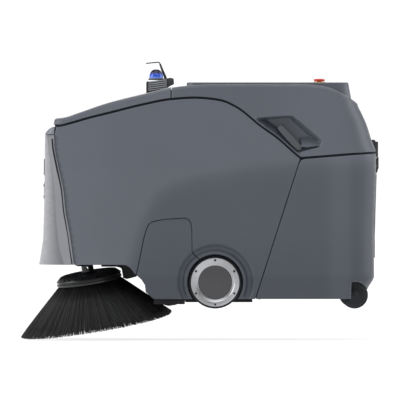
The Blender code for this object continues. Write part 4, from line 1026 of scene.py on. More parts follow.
# ---------------------------------------------------------------- hoods
def lid(name, columns, radius, cap_z, rear_edge, step, dig=None, hem=1.6, **kw):
    """columns: outer points from hem to shoulder, one list per station along the open outline."""
    nv, nrow = len(columns), len(columns[0])
    C = np.array(columns, float)                      # station, row, xyz
    rings_o, rings_i = [], []

    def inset_ring(ring, dist):
        off = plan_inset([(p[0], p[1]) for p in ring], dist)
        r = np.array([(off[i][0], off[i][1], ring[i][2]) for i in range(nv)])
        r[0][0], r[-1][0] = ring[0][0], ring[-1][0]
        return r
    for a in (0, 30, 60):
        t = math.radians(a)
        base = C[:, 0].copy()
        up = (C[:, 1] - C[:, 0])
        base = base + up / np.linalg.norm(up, axis=1)[:, None] * hem * (1 - math.cos(t))
        rings_o.append(inset_ring(base, hem * (1 - math.sin(t))))
        rings_i.append(inset_ring(base, SKIN))
    for k in range(1, nrow):
        rings_o.append(C[:, k].copy())
        rings_i.append(inset_ring(C[:, k], SKIN))
    shoulder = C[:, -1]
    for a in (15, 30, 45, 60, 75, 90):
        t = math.radians(a)
        d = radius * (1 - math.cos(t))
        o = inset_ring(shoulder, d)
        cap = cap_z(o[:, 0], o[:, 1])
        o[:, 2] = shoulder[:, 2] + (cap - shoulder[:, 2]) * math.sin(t)
        q = inset_ring(shoulder, max(d, SKIN) + 1.0 * math.sin(t))
        q[:, 2] = o[:, 2] - SKIN * (0.5 + 0.5 * math.sin(t))
        rings_o.append(o)
        rings_i.append(q)
    if dig is not None:
        for rings in (rings_o, rings_i):
            for r in rings:
                d = dig(r[:, 0], r[:, 2]) * (np.abs(r[:, 1]) > 250)
                r[:, 1] -= np.sign(r[:, 1]) * d
    outer = np.vstack(rings_o)
    inner = np.vstack(rings_i)
    faces = grid_faces(len(rings_o), nv)
    rim = [(p[0], p[1]) for p in rings_o[-1]]
    loop = rim + list(rear_edge)
    pts, tris = fill(loop, step)
    base = (len(rings_o) - 1) * nv
    extra = pts[nv:]
    start = len(outer)
    cz = cap_z(extra[:, 0], extra[:, 1])
    outer = np.vstack([outer, np.stack([extra[:, 0], extra[:, 1], cz], 1)])
    inner = np.vstack([inner, np.stack([extra[:, 0], extra[:, 1], cz - SKIN], 1)])
    index = [base + i if i < nv else start + i - nv for i in range(len(pts))]
    edge = {(f[i], f[(i + 1) % 4]) for f in faces for i in range(4)}
    cap = [tuple(index[i] for i in t) for t in tris]
    if any((t[i], t[(i + 1) % 3]) in edge for t in cap for i in range(3)):
        cap = [tuple(reversed(t)) for t in cap]
    v, f = thick(outer, inner, faces + cap)
    return make(name, v, f, PANEL, **kw)


FH_REAR, RH_FRONT = HOOD_SPLIT_X - 1.3, HOOD_SPLIT_X + 1.3


def front_hood():
    left = []

    def column(x, yf):
        zb, zt = seam_z(x) + 3, top_z(x) - 8
        return [(x if not callable(yf) else x, yf(z), z) for z in np.linspace(zb, zt, 7)]
    for x in list(np.linspace(FH_REAR, -338, 44)):
        left.append(column(x, lambda z, x=x: -float(half_width(x, z)) + 0.3))
    w = float(half_width(-350, 565))
    for a in range(8, 91, 8):
        t = math.radians(a)
        left.append(column(-352 - 26 * math.sin(t), lambda z, t=t: -(w - 26) - 26 * math.cos(t)))
    for y in np.linspace(-300, -12, 26):
        left.append(column(-378.5 - 2.4 * (1 - (y / 320.0) ** 2), lambda z, y=y: y))
    cols = left + [[(x, -y, z) for x, y, z in c] for c in reversed(left)]
    cols = list(reversed(cols))
    rear = [(FH_REAR, y) for y in np.linspace(-320, 320, 40)]
    lid("front_hood_skin", cols, 9.0, front_cap_z, rear, 14.0, node="front_hood", angle=45)


front_hood()


def rear_column(kind, t, rows):
    k = rows - 14
    f = np.concatenate([np.linspace(0, 0.62, k, endpoint=False), np.linspace(0.62, 1.0, 14)])
    if kind == "side":
        xb, xt = RH_FRONT + t * (396 - RH_FRONT), RH_FRONT + t * (352 - RH_FRONT)
        zb = (seam_z(xb) + 3) if xb < 261 else 474 + (xb - 261) * 15.0 / 193.0
        zt = top_z(xt) - 10
        x, z = xb + (xt - xb) * f, zb + (zt - zb) * f
        y = -(half_width(x, z) - 0.3)
        return [tuple(p) for p in np.stack([x, y, z], 1)]
    zb = 484.5 + 4.5 * (t if kind == "corner" else 1)
    rc_top = 52.0
    xt = 404.6 - rc_top + rc_top * (math.sin(t * math.pi / 2) if kind == "corner" else 1)
    zt = top_z(xt) - 10
    z = zb + (zt - zb) * f
    rc = 60.0 - 8.0 * f
    xr = rear_x(z)
    w = half_width(xr - rc, z) - 0.3
    if kind == "corner":
        a = t * math.pi / 2
        return [tuple(p) for p in np.stack([xr - rc + rc * math.sin(a), -(w - rc) - rc * math.cos(a), z], 1)]
    return [tuple(p) for p in np.stack([xr, -(w - rc) * (1 - t), z], 1)]


def rear_hood():
    rows = 76
    left = [rear_column("side", t, rows) for t in np.concatenate([np.linspace(0, 0.40, 22), np.linspace(0.405, 0.88, 96), np.linspace(0.90, 1.0, 6)])]
    left += [rear_column("corner", t, rows) for t in np.linspace(0.07, 1.0, 14)]
    left += [rear_column("rear", t, rows) for t in np.linspace(0.05, 0.97, 20)]
    cols = left + [[(x, -y, z) for x, y, z in c] for c in reversed(left)]
    rear = [(RH_FRONT, y) for y in np.linspace(320, -320, 40)]
    ob = lid("rear_hood_skin", cols, 10.0, rear_cap_z, rear, 14.0, dig=grip_dig, node="rear_hood", angle=45)
    notch = prism(round_loop([(430, 465), (480, 465), (480, 530), (430, 530)], 1.0), -68, 68)
    cut(ob, [notch], 45)


rear_hood()


# slanted bar across each scoop, rounded, with a foot at each end
def grip_bar(side, tag):
    a, b = Vector((204.5, 0, 553.5)), Vector((262.0, 0, 491.0))
    d = (b - a).normalized()
    nrm = Vector((d.z, 0, -d.x)).normalized()      # across the bar, in the side view
    if nrm.x < 0:
        nrm = -nrm
    n = 22
    sect = []
    for k in range(28):
        t = 2 * math.pi * k / 28
        cx, cy = math.cos(t), math.sin(t)
        e = 0.62
        sect.append((math.copysign(abs(cx) ** e, cx) * 9.6, math.copysign(abs(cy) ** e, cy) * 6.2))
    verts, rings = [], []
    for i in range(n + 1):
        t = i / n
        c = a.lerp(b, t)
        endk = min(1.0, 0.55 + 0.45 * math.sin(math.pi * min(1, max(0, t)) ** 1.0) ** 0.35)
        w = float(half_width(c.x, c.z)) - 0.3
        yc = w - 9.0 - 5.0 * (abs(2 * t - 1) ** 6)
        ring = []
        for s, h in sect:
            p = c + nrm * (s * endk)
            ring.append(len(verts))
            verts.append((p.x, side * (yc + h * endk), p.z))
        rings.append(ring)
    faces = []
    for p, q in zip(rings, rings[1:]):
        for k in range(28):
            faces.append((p[k], q[k], q[(k + 1) % 28], p[(k + 1) % 28]))
    faces += [tuple(reversed(rings[0])), tuple(rings[-1])]
    feet = []
    for t in (0.07, 0.93):
        c = a.lerp(b, t)
        w = float(half_width(c.x, c.z))
        feet.append(rod((c.x, side * (w - 40), c.z), (c.x, side * (w - 10), c.z), 7.0, 24, 1.0))
    v, f = merge([(verts, faces)] + feet)
    make("side_grip_bar_" + tag, v, f, GRIPM, node="side_grip_" + tag, angle=50, weld=False)


for side, tag in SIDES:
    grip_bar(side, tag)


# ---------------------------------------------------------------- dust bin shell
def bin_row(z, off=0.0, chan_z=None):
    x0 = bin_seam_x(z) + 1
    xr, rc = rear_x(z), 60.0
    pts = []
    xs = np.linspace(x0, xr - rc, 40)
    w = half_width(xs, z)
    pts += [(x, -(v - off)) for x, v in zip(xs, w)]
    w1 = float(w[-1])
    for a in np.linspace(6, 90, 15):
        r = math.radians(a)
        pts.append((xr - rc + (rc - off) * math.sin(r), -(w1 - rc) - (rc - off) * math.cos(r)))
    chan = 12.0 * float(sstep((z - 200) / 8.0))
    ye = w1 - rc
    for y in np.linspace(-ye + 8, -86, 16):
        pts.append((xr - off, y))
    for t in np.linspace(0, 1, 9):
        pts.append((xr - off - chan * float(sstep(t)), -80 + 9 * t + (off if chan else 0) * 0.0))
    for y in np.linspace(-64, -6, 8):
        pts.append((xr - chan - off, y))
    return pts + [(x, -y) for x, y in reversed(pts)]


def bin_hem(x):
    return 468.0 + max(0.0, (x - 261) * 15.0 / 193.0) - 2.0 * min(1.0, max(0.0, (275 - x) / 15.0))


def bin_shell():
    zs = [106.0, 106.3, 107.2] + list(np.linspace(110, 162, 10)) + list(np.linspace(166, 198, 5)) + \
        list(np.linspace(200, 208, 7)) + list(np.linspace(214, 452, 30)) + [456.0]
    sink = [1.6, 0.6, 0.0] + [0.0] * (len(zs) - 3)
    outer, inner = [], []
    for z, s in zip(zs, sink):
        outer += [(x, y, z) for x, y in bin_row(z, s)]
        inner += [(x, y, z) for x, y in bin_row(z, SKIN)]
    base = bin_row(456.0)
    for k, (fr, s) in enumerate(((0.4, 0.0), (0.8, 0.0), (0.93, 0.3), (1.0, 1.4))):
        o = [(x, y) for x, y in bin_row(456.0 + 18 * fr, s)]
        q = bin_row(456.0 + 18 * fr, SKIN)
        outer += [(x, y, 456.0 + (bin_hem(x) - 456.0) * fr) for x, y in o]
        inner += [(x, y, 456.0 + (bin_hem(x) - 456.0) * fr) for x, y in q]
    nv = len(base)
    rows = len(zs) + 4
    v, f = thick(np.array(outer), np.array(inner), grid_faces(rows, nv))
    ob = make("bin_shell_skin", v, f, PANEL, node="bin_shell", angle=45)
    notch = prism(arc(402, 114, 36.5, -100, 104, 51) + [(392, 146), (391, 90)], -380, -240)
    cut(ob, [notch, mirrored(notch)], 45)


bin_shell()


# ---------------------------------------------------------------- dark strips behind every seam, standing in for the shade inside the gaps
def seam_shade_strip(name, line, a, b, inset, body, side, surf=half_width, wall=1.6, slot="dark_plastic"):
    """A thin dark strip behind a seam, standing in for the shade inside the gap; it runs from a to b millimetres across
    the line.
    """
    line = resample(line, 8.0)
    outer, inner = [], []
    for i, p in enumerate(line):
        q0, q1 = line[max(0, i - 1)], line[min(len(line) - 1, i + 1)]
        d = Vector((q1[0] - q0[0], q1[1] - q0[1])).normalized()
        n = Vector((-d.y, d.x))
        for k in (a, b):
            x, z = p[0] + n.x * k, p[1] + n.y * k
            w = float(surf(x, z))
            outer.append((x, side * (w - inset), z))
            inner.append((x, side * (w - inset - wall), z))
    v, f = thick(np.array(outer), np.array(inner), grid_faces(len(line), 2))
    return make(name, v, f, SEAM_SHADE, body=body, slot=slot, angle=40)


seam_line = [(x, seam_z(x)) for x in range(-346, 262, 6)]
for side, tag in SIDES:
    seam_shade_strip("hood_seam_shade_" + tag, seam_line, -14, 9, 5.2, "root", side)
    seam_shade_strip("bin_seam_shade_" + tag, [(bin_seam_x(z), z) for z in range(108, 462, 12)], -12, 7, 5.0, "dust_bin", side)
    seam_shade_strip("door_seal_" + tag, [(p[0], p[1]) for p in DOOR_FRONT], -7, 7, 5.0, "root", side)
    seam_shade_strip("facet_seam_shade_" + tag, [(facet_rear_x(z), z) for z in range(198, 532, 12)], -7, 7, 4.4, "root", side)
    seam_shade_strip("joint_seam_shade_" + tag, [(236, 480), (274, 462)], -15, 9, 6.8, "root", side)
    # painted shade: a dark ring behind the tyre stands in for the shade inside the wheel well
    ring = [p for a in range(-12, 191, 4) for p in ((DRIVE_X + 68.8 * math.cos(math.radians(a)), DRIVE_Z + 68.8 * math.sin(math.radians(a))),
                                                    (DRIVE_X + 94 * math.cos(math.radians(a)), DRIVE_Z + 94 * math.sin(math.radians(a))))]
    well_o = np.array([(x, side * 331.8, z) for x, z in ring])
    well_i = np.array([(x, side * 330.0, z) for x, z in ring])
    wv, wf = thick(well_o, well_i, grid_faces(len(ring) // 2, 2))
    make("wheel_well_" + tag, wv, wf, SEAM_SHADE, body="root", slot="dark_plastic", angle=40)


def hood_rear_seam_shade():
    """Dark strip that closes the gap between the rear hood's hem and the dust bin shell, standing in for the shade
    inside that gap.
    """
    outer, inner = [], []
    base = [p for p in bin_row(470.0, 5.4) if p[0] > 262]
    deep = [p for p in bin_row(470.0, 7.2) if p[0] > 262]
    n = min(len(base), len(deep))
    base, deep = base[:n], deep[:n]
    for dz in (-12.0, 7.5):
        outer += [(x, y, bin_hem(x) + dz) for x, y in base]
        inner += [(x, y, bin_hem(x) + dz) for x, y in deep]
    v, f = thick(np.array(outer), np.array(inner), grid_faces(2, n))
    make("bin_top_seam_shade", v, f, SEAM_SHADE, body="dust_bin", slot="rubber", angle=40)


hood_rear_seam_shade()


# painted shade: dark strips in the nose seam and at the hood split stand in for the shade inside those gaps
def nose_seam_shades():
    w = float(half_width(-350, 560))
    path = [(-332.0, -(float(half_width(-332, 560)) - 5.0)), (-345.0, -(float(half_width(-345, 560)) - 4.0))]
    path += [(-352 - 23.4 * math.sin(math.radians(t)), -(w - 26) - 23.4 * math.cos(math.radians(t))) for t in range(0, 91, 9)]
    path += [(-376.4, y) for y in range(-290, 0, 20)]
    path = path + [(x, -y) for x, y in reversed(path)]
    path = list(reversed(path))
    inn = plan_inset(path, 1.8)
    outer, inner = [], []
    for k, dz in enumerate((-12.0, 2.6)):
        outer += [(x, y, float(seam_z(x)) + dz) for x, y in path]
        inner += [(q[0], q[1], float(seam_z(p[0])) + dz) for p, q in zip(path, inn)]
    v, f = thick(np.array(outer), np.array(inner), grid_faces(2, len(path)))
    make("nose_seam_shade", v, f, SEAM_SHADE, body="front_hood", slot="rubber", angle=40)
    pts = []
    ys = np.linspace(-346, 346, 60)
    for x in (-84.0, -66.0):
        for y in ys:
            pts.append((x, y, float(rear_cap_z(x, y)) - 4.8 - 12.0 * (abs(y) / 346.0) ** 16))
    outer = np.array(pts)
    inner = outer - np.array([0, 0, 1.8])
    v, f = thick(outer, inner, grid_faces(2, len(ys)))
    make("hood_split_seam_shade", v, f, SEAM_SHADE, body="rear_hood", slot="rubber", angle=40)


nose_seam_shades()


# ---------------------------------------------------------------- deck, screen, stop button
def deck():
    x0, x1, x1b = -34.6, 386.4, 394.4
    R = 26.0

    def outline(grow, rear):
        pts = []
        for cx, cy, a0 in ((rear - R, DECK_HALF - R, 0), (x0 + R, DECK_HALF - R, 90), (x0 + R, -(DECK_HALF - R), 180),
                           (rear - R, -(DECK_HALF - R), 270)):
            for k in range(10):
                t = math.radians(a0 + 10 * k)
                pts.append((cx + (R + grow) * math.cos(t), cy + (R + grow) * math.sin(t)))
        return resample(pts, 10.0, closed=True)
    top = outline(0, x1)
    n = len(top)
    base = []
    for (x, y) in top:
        t = min(1.0, max(0.0, (x - (x1 - R)) / R))
        base.append((x + (x1b - x1) * t, y))
    rings = []
    low = [(x, y, float(rear_cap_z(x, y)) - 2.0) for x, y in base]
    rings.append(low)
    r = 3.4
    for a in (0, 22, 45, 67, 90):
        t = math.radians(a)
        off = offset_loop(top, r * (1 - math.cos(t)))
        rings.append([(p[0], p[1], DECK_Z - r + r * math.sin(t)) for p in off])
    last = [(p[0], p[1]) for p in rings[-1]]
    pts, tris = fill(last, 22.0)
    verts = [p for ring in rings for p in ring]
    faces = grid_faces(len(rings), n, wrap=True)
    b = (len(rings) - 1) * n
    s = len(verts)
    verts += [(p[0], p[1], DECK_Z) for p in pts[n:]]
    faces += [tuple(b + i if i < n else s + i - n for i in t) for t in tris]
    lowpts, lowt = fill([(p[0], p[1]) for p in low], 24.0)
    s = len(verts)
    verts += [(p[0], p[1], float(rear_cap_z(p[0], p[1])) - 2.0) for p in lowpts[n:]]
    faces += [tuple(reversed([i if i < n else s + i - n for i in t])) for t in lowt]
    ob = make("top_deck_cover", verts, faces, PANEL, node="top_deck", angle=40)
    corner = round_loop([(150, -95), (290, -95), (290, 95), (150, 95)], 9, 6)
    v = [(x, y, DECK_Z - 1.6) for x, y in corner] + [(x, y, DECK_Z + 4) for x, y in corner]
    k = len(corner)
    pocket = (v, [tuple(range(k)), tuple(range(2 * k - 1, k - 1, -1))] + [(i, i + k, (i + 1) % k + k, (i + 1) % k) for i in range(k)])
    hole = rod((310.7, -130, DECK_Z - 2.0), (310.7, -130, DECK_Z + 9), 16.4, 64)
    cut(ob, [pocket, hole], 40)
    return corner


corner = deck()


def slab(outline, z0, z1, edge):
    """A flat plate with a rounded top edge, from a plan outline."""
    n = len(outline)
    rings = [[(x, y, z0) for x, y in outline]]
    for a in (0, 30, 60, 90):
        t = math.radians(a)
        off = offset_loop(outline, edge * (1 - math.cos(t))) if a else np.array(outline)
        rings.append([(p[0], p[1], z1 - edge + edge * math.sin(t)) for p in off])
    verts = [p for r in rings for p in r]
    faces = grid_faces(len(rings), n, wrap=True)
    faces.append(tuple(range(n)))
    faces.append(tuple(range(len(verts) - 1, len(verts) - n - 1, -1)))
    return verts, faces


small = [(220 + (x - 220) * (139.2 / 140), y * (189.2 / 190)) for x, y in corner]
v1, f1 = slab(small, DECK_Z - 1.3, DECK_Z - 0.05, 0.4)
make("touch_screen_glass", v1, f1, SCREEN, node="touch_screen", angle=40)
inner_frame = round_loop([(160, -84), (280, -84), (280, 84), (160, 84)], 4, 4)
v1, f1 = slab(inner_frame, DECK_Z - 0.30, DECK_Z + 0.02, 0.05)
make("touch_screen_display", v1, f1, moulded("display_off", (24, 29, 36), 0.22, grain=0.02, mottle=0.15, wear=0.0, coat=0.5),
     body="rear_hood", slot="screen", angle=40)

cx, cy = 310.7, -130.0
ring = lathe([(7.0, DECK_Z - 1.95), (16.0, DECK_Z - 1.95), (16.0, DECK_Z + 0.9), (15.7, DECK_Z + 1.4), (15.1, DECK_Z + 1.5), (14.9, DECK_Z + 1.2),
              (14.9, DECK_Z - 1.6), (7.0, DECK_Z - 1.6)], 72, (cx, cy, 0), (0, 0, 1))
make("stop_button_ring", ring[0], ring[1], YELLOW, node="estop_base", angle=40)
prof = [(0, DECK_Z - 2.0), (6.4, DECK_Z - 2.0), (6.4, DECK_Z + 2.6), (12.9, DECK_Z + 2.6), (13.5, DECK_Z + 3.0), (13.7, DECK_Z + 4.6), (14.5, DECK_Z + 5.6),
        (14.5, DECK_Z + 7.6), (13.9, DECK_Z + 8.6), (12.4, DECK_Z + 9.3), (9.0, DECK_Z + 9.75), (4.5, DECK_Z + 9.9), (0, DECK_Z + 9.9)]
btn = lathe(prof, 72, (cx, cy, 0), (0, 0, 1))
ob = make("stop_button_cap", btn[0], btn[1], RED, node="estop_button", angle=40)
marks = []
for k in range(3):
    pts = [(cx + 9.4 * math.cos(math.radians(120 * k + a)), cy + 9.4 * math.sin(math.radians(120 * k + a)), DECK_Z + 9.9) for a in range(0, 61, 6)]
    marks.append(tube_along(pts, 0.55, 8))
cut(ob, marks, 40)


# ---------------------------------------------------------------- beacon
def strap(path):
    """The lens guard: a flat bar, wide at its foot and narrow along its top arm."""
    p = [Vector(q) for q in path]
    total = sum((b - a).length for a, b in zip(p, p[1:]))
    verts, rings, run = [], [], 0.0
    for i, c in enumerate(p):
        d = (p[min(i + 1, len(p) - 1)] - p[max(i - 1, 0)])
        d = Vector((d.x, 0, d.z)).normalized()
        n = Vector((-d.z, 0, d.x))
        if i:
            run += (c - p[i - 1]).length
        t = run / total
        w = 4.0 + (2.6 - 4.0) * min(1.0, t / 0.5) if t < 0.54 else 1.5
        ring = []
        for k in range(16):
            a = 2 * math.pi * k / 16
            ca, sa = math.cos(a), math.sin(a)
            ring.append(len(verts))
            verts.append(tuple(c + n * (math.copysign(abs(ca) ** 0.6, ca) * w) + Vector((0, 1, 0)) * (math.copysign(abs(sa) ** 0.6, sa) * 1.5)))
        rings.append(ring)
    faces = []
    for a, b in zip(rings, rings[1:]):
        for k in range(16):
            faces.append((a[k], b[k], b[(k + 1) % 16], a[(k + 1) % 16]))
    return verts, faces + [tuple(reversed(rings[0])), tuple(rings[-1])]


def beacon():
    zf = lambda x: float(front_cap_z(x, 0))
    # painted shade: the dark core shows between the pale fins as the shade in the grooves
    core = [(-137.6, zf(-137) + 0.2), (-137.6, 668.2), (-134, 670.6), (-84, 677.6), (-84, zf(-84) + 0.2), (-110, zf(-110) + 0.2)]
    v, f = prism(round_loop(core, 1.0, 3), -21.5, 21.5)
    make("beacon_core", v, f, BEACON_D, body="front_hood", slot="dark_plastic", angle=35)
    shapes = []
    # fins follow the sloping top
    for k in range(5):
        za, zb = 671.6 - 5.3 * k, 678.6 - 5.3 * k
        lo = [(-137.4, za - 3.0), (-83.0, zb - 3.0), (-83.0, zb), (-137.4, za)]
        lo = [(x, max(z, zf(x) + 0.25)) for x, z in lo]
        if lo[3][1] - lo[0][1] < 0.6:
            t = 0.0
            while t < 1.0 and (za - 0.5 + (zb - za) * t) < zf(-137.4 + 54.4 * t) + 0.6:
                t += 0.02
            if t > 0.8:
                continue
            xs = -137.4 + 54.4 * t
            lo = [(xs, zf(xs) + 0.25), (-83.0, max(zb - 3.0, zf(-83) + 0.25)), (-83.0, zb), (xs, za + (zb - za) * t)]
        shapes.append(prism(lo, -26.9, 26.9))
    v, f = merge(shapes)
    ob = make("beacon_body", v, f, BEACON, node="beacon_base", angle=35, weld=False)
    post = round_loop([(-140.5, zf(-140) + 0.3), (-140.5, 669.5), (-138.6, 672.4), (-134.6, 672.8), (-135.6, zf(-135) + 0.3)], 0.8, 3)
    v, f = prism(post, -26.9, 26.9)
    make("beacon_front_post", v, f, BEACON_D, body="front_hood", slot="dark_plastic", angle=35)
    block = [(-86.5, zf(-86) + 0.4), (-86.5, 680.2), (-83.5, 681.1), (-71.5, 681.1), (-68.4, 678.2), (-67.9, 665.4), (-75, 662.2)]
    v, f = prism(round_loop(block, 1.2, 3), -26.9, 26.9)
    ob = make("beacon_block", v, f, BEACON_D, body="front_hood", slot="dark_plastic", angle=35)
    bevel(ob, 0.7, 2, 40)
    # seat ring under the lens
    seat = lathe(rounded([(0, 676.0), (20.4, 676.0), (20.4, 679.8), (18.7, 680.4), (0, 680.4)], 0.6, 3), 64, (-114.5, 0, 0), (0, 0, 1))
    make("beacon_seat", seat[0], seat[1], BEACON_D, body="front_hood", slot="beacon_grey", angle=40)
    prof = [(0, 680.1), (18.4, 680.1), (18.5, 681.5), (18.45, 684.0), (18.0, 688.0), (17.0, 691.6), (15.6, 694.8)]
    prof += [(15.1, 695.2), (14.6, 696.6), (13.0, 699.0), (10.6, 701.4), (7.6, 703.2), (4.0, 704.2), (0, 704.5)]
    dome = lathe(prof, 72, (-114.5, 0, 0), (0, 0, 1))
    make("beacon_lens", dome[0], dome[1], DOME, node="beacon_dome", angle=30)
    path = spline([(-89.5, 18.5, 672), (-91.0, 18.0, 684), (-98.0, 15.8, 701), (-105.0, 14.2, 719.4), (-107.2, 13.2, 722.3), (-111, 12, 722.6),
                   (-126, 6, 721.2), (-141.0, 0, 719.6)], 6)
    v, f = strap(path)
    make("beacon_guard_bar", v, f, BEACON_D, node="beacon_guard", angle=50)
    for k, (x, y) in enumerate(((-80, 20), (-80, -20))):
        s = lathe([(0, 681.0), (2.4, 681.0), (2.4, 682.2), (1.9, 682.7), (1.2, 682.7), (1.2, 681.9), (0, 681.9)], 24, (x + 2, y, -0.3), (0, 0, 1))
        make("beacon_screw_" + str(k), s[0], s[1], STEEL, body="front_hood", slot="steel", angle=35)


beacon()


# ---------------------------------------------------------------- front window and sensors
def fx(y, z):
    return front_x(z) + (facet_front_x(z) - front_x(z)) * (np.abs(y) / 312.0) ** 4


def front_details():
    loop = round_loop([(-105, 427), (105, 427), (105, 470), (-105, 470)], 9, 6)
    loop = resample(loop, 6, closed=True)
    n = len(loop)
    rings = []
    for a in (0, 45, 90):
        t = math.radians(a)
        off = offset_loop(loop, 1.0 * (1 - math.cos(t))) if a else np.array(loop)
        rings.append((off, 1.0 * (1 - math.sin(t))))
    pts, tris = fill([tuple(p) for p in rings[-1][0]], 10.0)
    P = np.vstack([rings[0][0], rings[1][0], pts])
    D = np.concatenate([np.full(n, rings[0][1]), np.full(n, rings[1][1]), np.zeros(len(pts))])
    x = np.array([float(fx(p[0], p[1])) for p in P])
    outer = np.stack([x - 2.2 + D, P[:, 0], P[:, 1]], 1)
    inner = np.stack([x - 0.4, P[:, 0], P[:, 1]], 1)
    faces = [tuple(i + 2 * n for i in t) for t in tris]
    for k in range(2):
        for i in range(n):
            j = (i + 1) % n
            faces.append((k * n + i, k * n + j, (k + 1) * n + j, (k + 1) * n + i))
    v, f = thick(outer, inner, faces)
    make("front_window_glass", v, f, WINDOW, node="front_window", angle=40)
    shapes = []
    x0 = front_x(386)
    strip = round_loop([(-3.4, 364), (3.4, 364), (3.4, 408), (-3.4, 408)], 3.0, 5)
    k = len(strip)
    v = [(x0 - 1.7, y, z) for y, z in strip] + [(x0 - 0.3, y, z) for y, z in strip]
    shapes.append((v, [tuple(range(k)), tuple(range(2 * k - 1, k - 1, -1))] + [(i, i + k, (i + 1) % k + k, (i + 1) % k) for i in range(k)]))
    for z in (401, 371.5):
        shapes.append(lathe([(0, 0), (3.7, 0), (3.7, 1.2), (3.2, 1.9), (2.4, 2.1), (2.2, 1.5), (0, 1.9)], 32, (x0 - 0.9, 0, z), (-1, 0, 0)))
    v, f = merge(shapes)
    make("front_sensor_eyes", v, f, DARKP, node="front_sensors", angle=40, weld=False)


front_details()


# ---------------------------------------------------------------- wheels
def wheels():
    for side, tag in SIDES:
        o, ax = (DRIVE_X, 0, DRIVE_Z), (0, side, 0)
        prof = [(63.6, 292.2), (66.4, 292.4), (67.6, 293.6), (68.0, 295.4)]
        for c in (302.0, 309.0, 316.0, 323.0, 330.0):
            prof += [(68.0, c - 1.0), (66.4, c - 0.5), (66.4, c + 0.5), (68.0, c + 1.0)]
        prof += [(68.0, 334.6), (67.6, 336.4), (66.4, 337.6), (64.8, 337.9), (63.6, 337.6)]
        v, f = lathe(prof, 160, o, ax)
        make("drive_tyre_tread_" + tag, v, f, TYRE, node="drive_tyre_" + tag, angle=35)
        prof = [(43.7, 293.2), (63.1, 293.2), (63.1, 339.4), (62.8, 340.0), (62.2, 340.35), (52.4, 340.35), (51.6, 340.1), (50.9, 339.6),
                (45.0, 336.6), (44.2, 336.5), (43.7, 336.9)]
        v, f = lathe(prof, 160, o, ax)
        ob = make("drive_hub_ring_" + tag, v, f, HUBM, node="drive_hub_" + tag, angle=28)
        holes = []
        for a in (90, 30, -30, -90, 150, 210):
            hx, hz = DRIVE_X + 57.4 * math.cos(math.radians(a)), DRIVE_Z + 57.4 * math.sin(math.radians(a))
            holes.append(rod((hx, side * 336.4, hz), (hx, side * 344, hz), 2.7, 28))
            holes.append(lathe([(0, 0), (2.69, 0), (4.2, 1.6), (0, 1.6)], 28, (hx, side * 339.55, hz), (0, side, 0)))
        cut(ob, holes, 28)
        heads = []
        for a in (90, 30, -30, -90, 150, 210):
            hx, hz = DRIVE_X + 57.4 * math.cos(math.radians(a)), DRIVE_Z + 57.4 * math.sin(math.radians(a))
            heads.append(lathe([(0, 0.0), (2.5, 0.0), (2.5, 1.5), (2.2, 1.8), (1.4, 1.8), (1.4, 0.6), (0, 0.6)], 24, (hx, side * 336.5, hz), (0, side, 0)))
        v, f = merge(heads)
        make("hub_screws_" + tag, v, f, DARKP, body="drive_wheel_" + tag, slot="steel", angle=35, weld=False)
        prof = [(0, 333.6), (43.1, 333.6), (43.1, 337.4), (42.7, 338.1), (41.9, 338.5), (40.6, 338.6), (39.9, 338.3), (39.4, 338.25),
                (38.8, 338.5), (0, 338.6)]
        v, f = lathe(prof, 128, o, ax)
        make("drive_cap_disc_" + tag, v, f, CAPM, node="drive_cap_" + tag, angle=30)
        o2 = (BINW_X, 0, BINW_Z)
        prof = [(6.5, 311.0), (14, 310.6), (16, 309.0), (24.5, 308.6), (27, 308.2), (32.4, 308.2), (34.2, 309.0), (35.0, 311.0), (35.0, 317.2), (34.4, 317.8),
                (34.4, 322.2), (35.0, 322.8), (35.0, 329.0), (34.2, 331.0), (32.4, 331.8), (27, 331.8), (24.5, 331.2), (22.6, 329.4), (16, 329.4),
                (14, 331.0), (12.6, 331.8), (6.5, 331.8)]
        v, f = lathe(prof, 96, o2, ax)
        make("bin_wheel_tyre_" + tag, v, f, TYRE, node="bin_wheel_" + tag, angle=32)
        cap = lathe([(0, 331.6), (10.6, 331.6), (10.6, 332.8), (9.6, 333.6), (0, 333.9)], 48, o2, ax)
        make("bin_axle_cap_" + tag, cap[0], cap[1], TYRE, body="bin_wheel_" + tag, slot="dark_plastic", angle=35)


wheels()


# ---------------------------------------------------------------- side brushes
def brush_axes(side):
    n = math.sqrt(1 - BRUSH_PITCH ** 2 - BRUSH_ROLL ** 2)
    up = Vector((-BRUSH_PITCH, side * BRUSH_ROLL, n))
    tip = Vector((BRUSH_TIP_X, side * BRUSH_TIP_Y, BRUSH_TIP_R * math.sqrt(1 - n * n)))
    return up, tip


